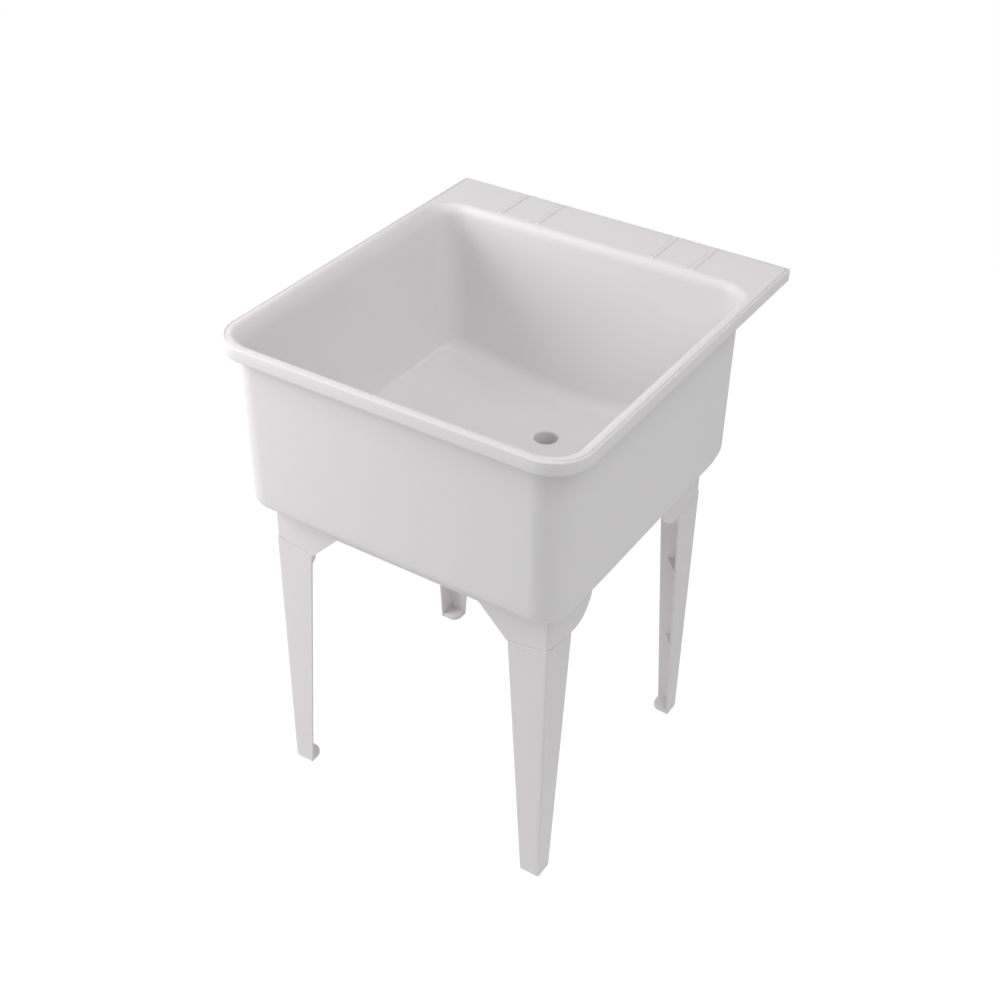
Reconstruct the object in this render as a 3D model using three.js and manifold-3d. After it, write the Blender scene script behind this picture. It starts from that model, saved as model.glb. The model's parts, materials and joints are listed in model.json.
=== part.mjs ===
// Utility laundry sink: a one-piece moulded tub with a rear deck, on four tapered L-section legs.
//
// Millimetres. The sink stands on z = 0, centred on the z axis, with its front towards -y, its deck
// towards +y and its width along x. The tub is one moulding, so it is built as one solid: lofts of
// rounded rectangles for its skins, joined and cut. Each leg slides up behind a collar of the tub,
// carries it on a shoulder, and is held from inside by three screws.

import * as THREE from 'three';
import { mergeVertices } from 'three/addons/utils/BufferGeometryUtils.js';
import Module from 'manifold-3d';

const wasm = await Module();
wasm.setup();

// ---------------------------------------------------------------- driving dimensions

const WIDTH = 616;
const DEPTH = 682;
const HEIGHT = 864;
const CLEARANCE = 0.3;              // between pieces that touch
const PASS = 8;                     // how far a cutter runs past what it cuts

// rim, lip and rear deck
const BAR_HEIGHT = 1;               // deck bars stand this high, and are the top of the sink
const BAR_WIDTH = 8;
const BAR_INNER_X = 108;
const BAR_OUTER_X = 179;
const BAR_SETBACK = 1;              // from the basin's rolled edge to the bars, and on to the borders
const SQUARE_BORDER = 4;            // front border of the two squares between the bars
const SQUARE_BORDER_HEIGHT = 0.5;
const RIM_THICKNESS = 6;
const LIP_DROP = 20;
const LIP_WALL = 5;
const LIP_EDGE = 1.2;
const LEDGE_DROP = 2;
const LEDGE_SIDE = 4.5;
const LEDGE_BACK = 8;
const RIM_ROUND = 3.5;
const FRONT_CORNER = 62;
const BACK_CORNER = 4.5;
const DECK_RIB_PITCH = 76;
const DECK_RIB_HEIGHT = 8;
const RIB_WALL = 3.5;

// outside of the tub's body, measured in from the lip
const BODY_INSET = { side: 23.4, front: 17, back: 99.5 };
const BODY_DRAFT = { side: 0.6, front: 5, back: 1 };
const BODY_CORNER = 48;
const BODY_BOTTOM = 565;
const BODY_EDGE = 17;
const THROAT = 9;                   // how far the body flares out under the rim
const THROAT_HEIGHT = 21;
const REAR_CUT_FROM_BACK = 91;      // where the plinth starts to rise towards the back
const REAR_CUT_ANGLE = 24;

// basin
const WALL = 5;
const FLOOR_WALL = 6;
const BASIN_DRAFT = { side: 4, front: 7, back: 3 };
const ROLL = { side: 20, front: 18, back: 10 };
const FILLET = { side: 14, front: 22, back: 30 };
const FLOOR_SIDE_RISE = 30;         // the floor is a shallow valley, higher at the two sides
const FLOOR_VALLEY_SOFTNESS = 0.12; // share of the half width over which the valley is rounded
const FLOOR_EDGE_FALL = 10;         // from the middle of the front and back walls to the drain
const DRAIN_Z = 551;
const DRAIN_FROM_BACK = 119.5;
const DRAIN_BORE = 40;
const DRAIN_ROUND = 5;

// skirt and collars under the body
const SKIRT_SIDE_INSET = 56;
const SKIRT_FRONT_INSET = 58;
const SKIRT_BACK_INSET = 137;
const SKIRT_WALL = 6;
const SKIRT_CORNER = 3;
const SKIRT_INNER_CORNER = 1;
const SKIRT_BOTTOM = 532;
const COLLAR_CORNER_Z = 493;        // bottom edge of a collar at its corner
const COLLAR_END_Z = 480;           // and at its two inner ends
const COLLAR_BOW = 2.6;             // the curve between them is drawn towards this far above the ends
const COLLAR_FRONT_WIDTH = 70.5;
const COLLAR_SIDE_WIDTH = 69.5;
const WING_FRONT_WIDTH = 121;
const WING_SIDE_WIDTH = 133;
const WING_SAG = 6;                 // the side wing's curve is drawn this far below its end,
const WING_BEND_SHARE = 0.25;       // at this share of its length from the foot

// legs
const LEG_PROUD = 1.2;
const LEG_WALL = 3.5;
const LEG_TOP_FRONT = 69.4;
const LEG_TOP_SIDE = 69.2;
const LEG_FOOT_FRONT = 35;
const LEG_FOOT_SIDE = 32.5;
const LEG_CORNER = 3;
const SHOULDER_HEIGHT = 18;
const TONGUE_WIDTH = 60;
const TONGUE_TOP = 556;
const GUSSET_HEIGHTS = [160, 330];
const GUSSET_WALL = 3;
const GUSSET_SHARE = 0.8;           // of the flange that a gusset reaches along
const PAD_HEIGHT = 8;
const PAD_ROUND = 16;

// leg screws: two in the front flange and one in the side flange, placed from the collar's corner
const SCREW_NEAR = 22;
const SCREW_MIDDLE = 34;
const SCREW_FAR = 48;
const SCREW_TOP_Z = 542;
const SCREW_SIDE_Z = 528;
const SCREW_LOW_Z = 516;
const SCREW_SHANK = 4;
const SCREW_HEAD = 9;
const SCREW_HEAD_HEIGHT = 2.6;
const SCREW_HEAD_RIM = 1.2;         // height of the head's straight side
const SCREW_CROWN = 5.4;            // flat top of the head
const SCREW_TIP = 2;
const SCREW_RECESS = 3.2;
const SCREW_RECESS_DEPTH = 1.3;
const SCREW_RECESS_ARM = 1.1;
const SCREW_BITE = 4.2;             // depth of the shank in the collar
const SCREW_SKIN = 1.2;             // what is left of the collar outside the blind hole

// drain
const SPIGOT_OUTER = 48;
const SPIGOT_LENGTH = 30;
const SPIGOT_ROOT = 4;              // bell of the spigot where it joins the floor
const WASHER_OUTER = 46;
const WASHER_THICKNESS = 3;
const TAILPIECE_OUTER = 38;
const TAILPIECE_WALL = 2;
const TAILPIECE_LENGTH = 90;
const TAILPIECE_FLANGE = 45.5;
const TAILPIECE_FLANGE_THICKNESS = 3;
const NUT_WALL = 4.2;
const NUT_GRIP = 14;                // length of the nut that covers the spigot
const NUT_LIP = 5;
const NUT_CHAMFER = 1.4;
const NUT_WINGS = 8;
const NUT_WING = { width: 5, height: 3 };

// faceting
const CORNER_STEPS = 7;
const FILLET_STEPS = 4;
const ROLL_STEPS = 5;
const EDGE_STEPS = 2;
const LEG_CORNER_STEPS = 3;
const BORE_STEPS = 24;
const SMALL_STEPS = 12;

// ---------------------------------------------------------------- places that follow from them

const RIM_Z = HEIGHT - BAR_HEIGHT;
const LIP_BOTTOM = RIM_Z - LIP_DROP;
const RIM_UNDERSIDE = RIM_Z - RIM_THICKNESS;
const LEDGE_Z = RIM_Z - LEDGE_DROP;
const BURIED = RIM_UNDERSIDE + RIM_THICKNESS / 4;   // where solids that end inside the rim stop

const BODY_HALF = WIDTH / 2 - BODY_INSET.side;
const BODY_FRONT = -DEPTH / 2 + BODY_INSET.front;
const BODY_BACK = DEPTH / 2 - BODY_INSET.back;
const BASIN_BACK_EDGE = BODY_BACK - WALL + ROLL.back;

const SKIRT_HALF = WIDTH / 2 - SKIRT_SIDE_INSET;
const SKIRT_FRONT = -DEPTH / 2 + SKIRT_FRONT_INSET;
const SKIRT_BACK = DEPTH / 2 - SKIRT_BACK_INSET;
const SKIRT_MIDDLE = (SKIRT_FRONT + SKIRT_BACK) / 2;
const SKIRT_HALF_DEPTH = (SKIRT_BACK - SKIRT_FRONT) / 2;

const DRAIN_Y = BODY_BACK - DRAIN_FROM_BACK;
const SPIGOT_BOTTOM = DRAIN_Z - FLOOR_WALL - SPIGOT_LENGTH;
const WASHER_TOP = SPIGOT_BOTTOM - CLEARANCE;
const TAILPIECE_TOP = WASHER_TOP - WASHER_THICKNESS - CLEARANCE;
const NUT_LIP_TOP = TAILPIECE_TOP - TAILPIECE_FLANGE_THICKNESS - CLEARANCE;

const TONGUE_OFFSET = SKIRT_WALL + CLEARANCE;

// ---------------------------------------------------------------- geometry helpers

function solidOf(geometry) {
  const bare = geometry.clone();
  bare.deleteAttribute('normal');
  bare.deleteAttribute('uv');
  const merged = mergeVertices(bare, 1e-4);
  return new wasm.Manifold(new wasm.Mesh({
    numProp: 3,
    vertProperties: new Float32Array(merged.attributes.position.array),
    triVerts: new Uint32Array(merged.index.array),
  }));
}

function geometryOf(solid) {
  const { vertProperties, triVerts } = solid.getMesh();
  const geometry = new THREE.BufferGeometry();
  geometry.setAttribute('position', new THREE.BufferAttribute(vertProperties, 3));
  geometry.setIndex(new THREE.BufferAttribute(triVerts, 1));
  return geometry;
}

const joined = (solids) => solids.reduce((whole, solid) => whole.add(solid));

const radians = THREE.MathUtils.degToRad;

// A size that differs between the sides, the front and the back, for a point that faces (nx, ny).
function around(sizes, { nx, ny }) {
  return sizes.side * nx * nx + (ny < 0 ? sizes.front : sizes.back) * ny * ny;
}

// The outline of a rectangle with round corners, anticlockwise, as points with outward normals.
function roundedOutline({ half, front, back, frontRadius, backRadius, sideSteps = 1, endSteps = 1 }) {
  const corners = [
    { x: half - frontRadius, y: front + frontRadius, radius: frontRadius, from: -90, steps: sideSteps },
    { x: half - backRadius, y: back - backRadius, radius: backRadius, from: 0, steps: endSteps },
    { x: backRadius - half, y: back - backRadius, radius: backRadius, from: 90, steps: sideSteps },
    { x: frontRadius - half, y: front + frontRadius, radius: frontRadius, from: 180, steps: endSteps },
  ];
  const pointOn = ({ x, y, radius, from }, turn) => {
    const angle = radians(from + turn);
    const nx = Math.cos(angle);
    const ny = Math.sin(angle);
    return { x: x + radius * nx, y: y + radius * ny, nx, ny };
  };
  const points = [];
  corners.forEach((corner, index) => {
    for (let step = 0; step <= CORNER_STEPS; step += 1) {
      points.push(pointOn(corner, (90 * step) / CORNER_STEPS));
    }
    const start = points.at(-1);
    const end = pointOn(corners[(index + 1) % corners.length], 0);
    for (let step = 1; step < corner.steps; step += 1) {
      const share = step / corner.steps;
      const x = THREE.MathUtils.lerp(start.x, end.x, share);
      const y = THREE.MathUtils.lerp(start.y, end.y, share);
      points.push({ ...start, x, y });
    }
  });
  return points;
}

// One ring of a loft: the outline moved in by inset, at height z. Both may depend on the point.
function ring(outline, inset, z) {
  const at = (value, point) => (typeof value === 'function' ? value(point) : value);
  return outline.map((point) => {
    const move = at(inset, point);
    return new THREE.Vector3(point.x - move * point.nx, point.y - move * point.ny, at(z, point));
  });
}

// A closed solid through rings of equal length, listed from the bottom up.
function loft(rings) {
  const size = rings[0].length;
  const positions = rings.flat().flatMap((point) => point.toArray());
  const index = [];
  for (let level = 0; level < rings.length - 1; level += 1) {
    for (let i = 0; i < size; i += 1) {
      const a = level * size + i;
      const b = level * size + ((i + 1) % size);
      index.push(a, b, b + size, a, b + size, a + size);
    }
  }
  const flat = (points) => points.map(({ x, y }) => new THREE.Vector2(x, y));
  const cap = (points) => THREE.ShapeUtils.triangulateShape(flat(points), []);
  const top = (rings.length - 1) * size;
  cap(rings[0]).forEach(([a, b, c]) => index.push(a, c, b));
  cap(rings.at(-1)).forEach(([a, b, c]) => index.push(top + a, top + b, top + c));
  const geometry = new THREE.BufferGeometry();
  geometry.setAttribute('position', new THREE.Float32BufferAttribute(positions, 3));
  geometry.setIndex(index);
  return solidOf(geometry);
}

// A flat outline in (x, z) pushed along y, in (y, z) along x, or in (x, y) along z.
function prismAlongY(shape, from, to) {
  const geometry = new THREE.ExtrudeGeometry(shape, { depth: to - from, bevelEnabled: false });
  geometry.rotateX(Math.PI / 2);
  geometry.translate(0, to, 0);
  return solidOf(geometry);
}

function prismAlongX(shape, from, to) {
  const geometry = new THREE.ExtrudeGeometry(shape, { depth: to - from, bevelEnabled: false });
  geometry.rotateX(Math.PI / 2);
  geometry.rotateZ(Math.PI / 2);
  geometry.translate(from, 0, 0);
  return solidOf(geometry);
}

function prismAlongZ(shape, from, to) {
  const options = { depth: to - from, bevelEnabled: false, curveSegments: FILLET_STEPS };
  const geometry = new THREE.ExtrudeGeometry(shape, options);
  geometry.translate(0, 0, from);
  return solidOf(geometry);
}

function block(x0, x1, y0, y1, z0, z1) {
  const geometry = new THREE.BoxGeometry(x1 - x0, y1 - y0, z1 - z0);
  geometry.translate((x0 + x1) / 2, (y0 + y1) / 2, (z0 + z1) / 2);
  return solidOf(geometry);
}

// A solid of revolution about the z axis, from points of (radius, z).
function turned(points, steps) {
  const profile = points.map(([radius, z]) => new THREE.Vector2(radius, z));
  const geometry = new THREE.LatheGeometry(profile, steps);
  geometry.rotateX(Math.PI / 2);
  return geometry;
}

// Copies a geometry to another corner of the sink by mirroring it, with its faces kept outwards.
function mirrored(geometry, signX, signY) {
  const copy = geometry.clone();
  copy.scale(signX, signY, 1);
  if (signX * signY < 0) {
    const index = copy.index.array;
    for (let i = 0; i < index.length; i += 3) {
      [index[i], index[i + 1]] = [index[i + 1], index[i]];
    }
  }
  return copy;
}

// ---------------------------------------------------------------- tub: rim and deck

const lipOutline = roundedOutline({
  half: WIDTH / 2,
  front: -DEPTH / 2,
  back: DEPTH / 2,
  frontRadius: FRONT_CORNER,
  backRadius: BACK_CORNER,
});

// The raised top stands inside a ledge at the sides and the back, and meets the lip's face in front.
const FLUSH = 0.02;
const topOutline = roundedOutline({
  half: WIDTH / 2 - LEDGE_SIDE,
  front: -DEPTH / 2 + FLUSH,
  back: DEPTH / 2 - LEDGE_BACK,
  frontRadius: FRONT_CORNER,
  backRadius: BACK_CORNER,
});

const bodyOutline = roundedOutline({
  half: BODY_HALF,
  front: BODY_FRONT,
  back: BODY_BACK,
  frontRadius: BODY_CORNER,
  backRadius: BODY_CORNER,
  endSteps: 6,
});

function rim() {
  const lip = loft([
    ring(lipOutline, 0, LIP_BOTTOM),
    ring(lipOutline, 0, LEDGE_Z - LIP_EDGE),
    ring(lipOutline, LIP_EDGE, LEDGE_Z),
  ]);
  const topRings = [ring(topOutline, 0, BURIED)];
  for (let step = 0; step <= EDGE_STEPS; step += 1) {
    const angle = radians((90 * step) / EDGE_STEPS);
    const inset = RIM_ROUND * (1 - Math.cos(angle));
    topRings.push(ring(topOutline, inset, RIM_Z - LEDGE_DROP * (1 - Math.sin(angle))));
  }
  const inside = roundedOutline({
    half: WIDTH / 2 - LIP_WALL,
    front: -DEPTH / 2 + LIP_WALL,
    back: DEPTH / 2 - LIP_WALL,
    frontRadius: FRONT_CORNER - LIP_WALL,
    backRadius: BACK_CORNER / 2,
  });
  const underside = loft([ring(inside, 0, LIP_BOTTOM - PASS), ring(inside, 0, RIM_UNDERSIDE)]);
  return lip.add(loft(topRings)).subtract(underside);
}

// The body flares out under the rim, so that the rolled edge of the basin keeps its wall.
function throat() {
  return loft([
    ring(bodyOutline, 0, RIM_UNDERSIDE - THROAT_HEIGHT),
    ring(bodyOutline, -THROAT, RIM_UNDERSIDE),
    ring(bodyOutline, -THROAT, RIM_UNDERSIDE + RIM_THICKNESS / 3),
  ]);
}

// Crossed ribs carry the deck behind the body.
function deckRibs() {
  const back = DEPTH / 2 - LIP_WALL / 2;
  const low = RIM_UNDERSIDE - DECK_RIB_HEIGHT;
  const high = RIM_UNDERSIDE + RIM_THICKNESS / 5;
  const count = Math.floor((WIDTH / 2 - LIP_WALL) / DECK_RIB_PITCH - 0.5) + 1;
  const ribs = [];
  for (let i = 0; i < count; i += 1) {
    const x = (i + 0.5) * DECK_RIB_PITCH;
    [-x, x].forEach((at) => {
      ribs.push(block(at - RIB_WALL / 2, at + RIB_WALL / 2, BODY_BACK - WALL / 2, back, low, high));
    });
  }
  const half = WIDTH / 2 - LIP_WALL / 2;
  const middle = (BODY_BACK + back) / 2;
  ribs.push(block(-half, half, middle - RIB_WALL / 2, middle + RIB_WALL / 2, low, high));
  return joined(ribs);
}

// Four raised bars and the front borders of the two small squares between them.
function deckBars() {
  const sunk = RIM_Z - RIM_THICKNESS / 3;
  const front = BASIN_BACK_EDGE + BAR_SETBACK;
  const back = DEPTH / 2 - LEDGE_BACK - RIM_ROUND;
  const bars = [];
  [-1, 1].forEach((side) => {
    [BAR_INNER_X, BAR_OUTER_X].forEach((at) => {
      const x = side * at;
      bars.push(block(x - BAR_WIDTH / 2, x + BAR_WIDTH / 2, front, back, sunk, HEIGHT));
    });
    const ends = [side * BAR_INNER_X, side * BAR_OUTER_X].sort((a, b) => a - b);
    const near = front + BAR_SETBACK;
    const low = RIM_Z - RIM_THICKNESS / 5;
    bars.push(block(ends[0], ends[1], near, near + SQUARE_BORDER, low, RIM_Z + SQUARE_BORDER_HEIGHT));
  });
  return joined(bars);
}

// ---------------------------------------------------------------- tub: body, basin, skirt

function body() {
  const height = LIP_BOTTOM - BODY_BOTTOM;
  const inset = (round, z) => (point) => round + around(BODY_DRAFT, point) * ((LIP_BOTTOM - z) / height);
  const rings = [];
  for (let step = 0; step <= FILLET_STEPS; step += 1) {
    const angle = radians((90 * step) / FILLET_STEPS);
    const z = BODY_BOTTOM + BODY_EDGE * (1 - Math.cos(angle));
    rings.push(ring(bodyOutline, inset(BODY_EDGE * (1 - Math.sin(angle)), z), z));
  }
  rings.push(ring(bodyOutline, 0, LIP_BOTTOM), ring(bodyOutline, 0, BURIED));
  return loft(rings);
}

// The plinth rises towards the back, which leaves room for the trap and the wall pipe.
function rearCut() {
  const start = BODY_BACK - REAR_CUT_FROM_BACK;
  const end = BODY_BACK + PASS;
  const rise = (end - start) * Math.tan(radians(REAR_CUT_ANGLE));
  const shape = new THREE.Shape([
    new THREE.Vector2(start, BODY_BOTTOM),
    new THREE.Vector2(start, BODY_BOTTOM - PASS),
    new THREE.Vector2(end, BODY_BOTTOM - PASS),
    new THREE.Vector2(end, BODY_BOTTOM + rise),
  ]);
  return prismAlongX(shape, -BODY_HALF - PASS, BODY_HALF + PASS);
}

const basinOutline = roundedOutline({
  half: BODY_HALF - WALL,
  front: BODY_FRONT + WALL,
  back: BODY_BACK - WALL,
  frontRadius: BODY_CORNER - WALL,
  backRadius: BODY_CORNER - WALL,
  sideSteps: 4,
  endSteps: 8,
});

// Height of the floor where it meets the wall: lowest at the middle of the front and the back.
function floorEdge({ x }) {
  const soft = FLOOR_VALLEY_SOFTNESS;
  const share = (Math.hypot(x / (BODY_HALF - WALL), soft) - soft) / (1 - soft);
  return DRAIN_Z + FLOOR_EDGE_FALL + FLOOR_SIDE_RISE * share;
}

function circleRing(outline, radius, z) {
  return outline.map((point) => {
    const angle = Math.atan2(point.y - DRAIN_Y, point.x);
    return new THREE.Vector3(radius * Math.cos(angle), DRAIN_Y + radius * Math.sin(angle), z);
  });
}

// The skin of the basin from the drain up to where the wall starts: floor, then fillet. With a
// grow above zero it is the outside of the same shell.
function basinSkin(grow) {
  const lower = grow > 0 ? FLOOR_WALL : 0;
  const filletOf = (point) => around(FILLET, point) + grow;
  const floorOf = (point) => floorEdge(point) - lower;
  const draftOf = (point) => around(BASIN_DRAFT, point) - grow;
  const rings = [];
  for (let step = 0; step <= FILLET_STEPS; step += 1) {
    const angle = radians((90 * step) / FILLET_STEPS);
    rings.push(ring(
      basinOutline,
      (point) => draftOf(point) + filletOf(point) * (1 - Math.sin(angle)),
      (point) => floorOf(point) + filletOf(point) * (1 - Math.cos(angle)),
    ));
  }
  return rings;
}

function between(lower, upper, share) {
  return lower.map((point, i) => point.clone().lerp(upper[i], share));
}

function basin() {
  const bore = DRAIN_BORE / 2;
  const skin = basinSkin(0);
  const drain = [circleRing(basinOutline, bore, SPIGOT_BOTTOM - PASS)];
  for (let step = 0; step <= EDGE_STEPS; step += 1) {
    const angle = radians((90 * step) / EDGE_STEPS);
    const radius = bore + DRAIN_ROUND * (1 - Math.cos(angle));
    drain.push(circleRing(basinOutline, radius, DRAIN_Z - DRAIN_ROUND * (1 - Math.sin(angle))));
  }
  const rollTop = [];
  for (let step = 0; step <= ROLL_STEPS; step += 1) {
    const angle = radians((90 * step) / ROLL_STEPS);
    rollTop.push(ring(
      basinOutline,
      (point) => -around(ROLL, point) * (1 - Math.cos(angle)),
      (point) => RIM_Z - around(ROLL, point) * (1 - Math.sin(angle)),
    ));
  }
  return loft([
    ...drain,
    between(drain.at(-1), skin[0], 1 / 3),
    between(drain.at(-1), skin[0], 2 / 3),
    ...skin,
    ...rollTop,
    ring(basinOutline, (point) => -around(ROLL, point), RIM_Z + PASS),
  ]);
}

// The outside of the basin's floor, seen from below inside the skirt.
function belly() {
  const skin = basinSkin(WALL);
  const edge = circleRing(basinOutline, SPIGOT_OUTER / 2 + SPIGOT_ROOT, DRAIN_Z - FLOOR_WALL);
  const topZ = DRAIN_Z + FLOOR_EDGE_FALL + FLOOR_SIDE_RISE + FILLET.back + FLOOR_WALL;
  const top = skin.at(-1).map(({ x, y }) => new THREE.Vector3(x, y, topZ));
  return loft([edge, between(edge, skin[0], 0.5), ...skin, top]);
}

function spigot() {
  const root = SPIGOT_OUTER / 2 + SPIGOT_ROOT;
  const geometry = turned([
    [0, SPIGOT_BOTTOM],
    [SPIGOT_OUTER / 2, SPIGOT_BOTTOM],
    [SPIGOT_OUTER / 2, DRAIN_Z - FLOOR_WALL - SPIGOT_ROOT],
    [root, DRAIN_Z - FLOOR_WALL],
    [root, DRAIN_Z - FLOOR_WALL / 3],
    [0, DRAIN_Z - FLOOR_WALL / 3],
  ], BORE_STEPS);
  geometry.translate(0, DRAIN_Y, 0);
  return solidOf(geometry);
}

// The lower edge of the skirt on one face, as the shape that is cut away below it. Distances run
// from the middle of the face; half is the distance to the corner.
function skirtWindow(half, collarWidth, wing) {
  const low = COLLAR_END_Z - 2 * PASS;
  const end = half - collarWidth;
  const bow = half - collarWidth / 2;
  const bowZ = COLLAR_END_Z + COLLAR_BOW;
  const shape = new THREE.Shape();
  shape.moveTo(-half - PASS, low);
  shape.lineTo(half + PASS, low);
  shape.lineTo(half + PASS, COLLAR_CORNER_Z);
  shape.lineTo(half, COLLAR_CORNER_Z);
  shape.quadraticCurveTo(bow, bowZ, end, COLLAR_END_Z);
  wing(shape, end, 1);
  wing(shape, end, -1);
  shape.quadraticCurveTo(-bow, bowZ, -half, COLLAR_CORNER_Z);
  shape.lineTo(-half - PASS, COLLAR_CORNER_Z);
  return shape;
}

// Front and back faces have a straight wing.
function straightWing(shape, end, side) {
  const foot = SKIRT_HALF - WING_FRONT_WIDTH;
  if (side > 0) {
    shape.lineTo(foot, SKIRT_BOTTOM);
  } else {
    shape.lineTo(-foot, SKIRT_BOTTOM);
    shape.lineTo(-end, COLLAR_END_Z);
  }
}

// The side faces have a hollow one.
function hollowWing(shape, end, side) {
  const foot = SKIRT_HALF_DEPTH - WING_SIDE_WIDTH;
  const bend = THREE.MathUtils.lerp(foot, end, WING_BEND_SHARE);
  const bendZ = COLLAR_END_Z - WING_SAG;
  if (side > 0) {
    shape.quadraticCurveTo(bend, bendZ, foot, SKIRT_BOTTOM);
  } else {
    shape.lineTo(-foot, SKIRT_BOTTOM);
    shape.quadraticCurveTo(-bend, bendZ, -end, COLLAR_END_Z);
  }
}

function skirt() {
  const outline = (inset, radius) => roundedOutline({
    half: SKIRT_HALF - inset,
    front: SKIRT_FRONT + inset,
    back: SKIRT_BACK - inset,
    frontRadius: radius,
    backRadius: radius,
  });
  const low = COLLAR_END_Z - PASS;
  const high = DRAIN_Z + FLOOR_SIDE_RISE + FILLET.side;
  const outer = outline(0, SKIRT_CORNER);
  const inner = outline(SKIRT_WALL, SKIRT_INNER_CORNER);
  const tube = loft([ring(outer, 0, low), ring(outer, 0, high)])
    .subtract(loft([ring(inner, 0, low - PASS), ring(inner, 0, high + PASS)]));
  const frontWindow = skirtWindow(SKIRT_HALF, COLLAR_FRONT_WIDTH, straightWing);
  const sideWindow = skirtWindow(SKIRT_HALF_DEPTH, COLLAR_SIDE_WIDTH, hollowWing);
  const reach = SKIRT_WALL + SKIRT_INNER_CORNER;
  const sideCutter = (from, to) => prismAlongX(sideWindow, from, to).translate([0, SKIRT_MIDDLE, 0]);
  return tube
    .subtract(prismAlongY(frontWindow, SKIRT_FRONT - PASS, SKIRT_FRONT + reach))
    .subtract(prismAlongY(frontWindow, SKIRT_BACK - reach, SKIRT_BACK + PASS))
    .subtract(sideCutter(-SKIRT_HALF - PASS, -SKIRT_HALF + reach))
    .subtract(sideCutter(SKIRT_HALF - reach, SKIRT_HALF + PASS));
}

// What is hollow inside the skirt. It runs past the floor's underside, which is added afterwards.
function plinthHollow() {
  const inset = SKIRT_WALL / 2;
  return block(
    -SKIRT_HALF + inset,
    SKIRT_HALF - inset,
    SKIRT_FRONT + inset,
    SKIRT_BACK - inset,
    BODY_BOTTOM - PASS,
    DRAIN_Z + FLOOR_EDGE_FALL + FLOOR_SIDE_RISE - FLOOR_WALL / 4,
  );
}

// ---------------------------------------------------------------- leg screws

// Each screw's tip direction and place at the corner (-x, -y), from the leg's corner.
function screwPlaces() {
  const tip = SKIRT_WALL - SCREW_BITE;
  return [
    { x: SCREW_NEAR, y: tip, z: SCREW_TOP_Z, axis: 'y' },
    { x: SCREW_FAR, y: tip, z: SCREW_LOW_Z, axis: 'y' },
    { x: tip, y: SCREW_MIDDLE, z: SCREW_SIDE_Z, axis: 'x' },
  ];
}

// A body of revolution whose axis runs inwards from the screw's tip.
function placedAtScrew(geometry, { x, y, z, axis }) {
  const copy = geometry.clone();
  if (axis === 'y') copy.rotateX(-Math.PI / 2);
  if (axis === 'x') copy.rotateY(Math.PI / 2);
  copy.translate(x, y, z);
  copy.translate(-SKIRT_HALF, SKIRT_FRONT - SKIRT_MIDDLE, 0);
  return copy;
}

const SHANK_LENGTH = SCREW_BITE + CLEARANCE + LEG_WALL + CLEARANCE;

function screwGeometry() {
  const shank = SCREW_SHANK / 2;
  const head = SCREW_HEAD / 2;
  const solid = solidOf(turned([
    [0, 0],
    [SCREW_TIP / 2, 0],
    [shank, shank],
    [shank, SHANK_LENGTH],
    [head, SHANK_LENGTH],
    [head, SHANK_LENGTH + SCREW_HEAD_RIM],
    [SCREW_CROWN / 2, SHANK_LENGTH + SCREW_HEAD_HEIGHT],
    [0, SHANK_LENGTH + SCREW_HEAD_HEIGHT],
  ], SMALL_STEPS));
  const slot = SCREW_RECESS / 2;
  const high = SHANK_LENGTH + SCREW_HEAD_HEIGHT + PASS;
  const deep = high - PASS - SCREW_RECESS_DEPTH;
  const arm = SCREW_RECESS_ARM / 2;
  const cross = block(-slot, slot, -arm, arm, deep, high).add(block(-arm, arm, -slot, slot, deep, high));
  return geometryOf(solid.subtract(cross));
}

// The hole that a screw needs, from a little past its tip to past the tongue.
function screwHole() {
  const radius = SCREW_SHANK / 2 + CLEARANCE;
  const start = SCREW_SKIN - (SKIRT_WALL - SCREW_BITE);
  const end = SHANK_LENGTH - CLEARANCE / 2;
  return turned([[0, start], [radius, start], [radius, end], [0, end]], SMALL_STEPS);
}

const cornerHoles = joined(screwPlaces().map((place) => solidOf(placedAtScrew(screwHole(), place))));

function atEachCorner(make) {
  const made = [];
  [[-1, -1], [1, -1], [-1, 1], [1, 1]].forEach(([x, y]) => made.push(make(x, y)));
  return made;
}

// Corner pieces are drawn at (-x, -y) about the middle of the skirt, then mirrored to their corner.
function atCorner(geometry, x, y) {
  const copy = mirrored(geometry, -x, -y);
  copy.translate(0, SKIRT_MIDDLE, 0);
  return copy;
}

function tubGeometry() {
  const shell = body().subtract(plinthHollow()).subtract(rearCut());
  const outside = joined([rim(), throat(), deckRibs(), deckBars(), shell, belly(), spigot(), skirt()]);
  const holes = geometryOf(cornerHoles);
  const drilled = atEachCorner((x, y) => solidOf(atCorner(holes, x, y)))
    .reduce((whole, hole) => whole.subtract(hole), outside);
  return geometryOf(drilled.subtract(basin()));
}

// ---------------------------------------------------------------- legs

// The outline of an L from its outer corner, with flanges along +x and +y, moved in by offset.
function angleShape(frontWidth, sideWidth, wall, offset, radius) {
  const points = [];
  const near = offset;
  const far = offset + wall;
  points.push([frontWidth, near], [frontWidth, far], [far, far], [far, sideWidth], [near, sideWidth]);
  for (let step = 0; step <= LEG_CORNER_STEPS; step += 1) {
    const angle = radians(180 + (90 * step) / LEG_CORNER_STEPS);
    points.push([near + radius * (1 + Math.cos(angle)), near + radius * (1 + Math.sin(angle))]);
  }
  return points;
}

function angleLoft(levels) {
  return loft(levels.map(({ front, side, wall, offset, radius, z }) => (
    angleShape(front, side, wall, offset, radius).map(([x, y]) => new THREE.Vector3(x, y, z))
  )));
}

const flangeAt = (foot, top, z) => THREE.MathUtils.lerp(foot, top, z / COLLAR_END_Z);
const frontFlange = (z) => flangeAt(LEG_FOOT_FRONT, LEG_TOP_FRONT, z);
const sideFlange = (z) => flangeAt(LEG_FOOT_SIDE, LEG_TOP_SIDE, z);

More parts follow.
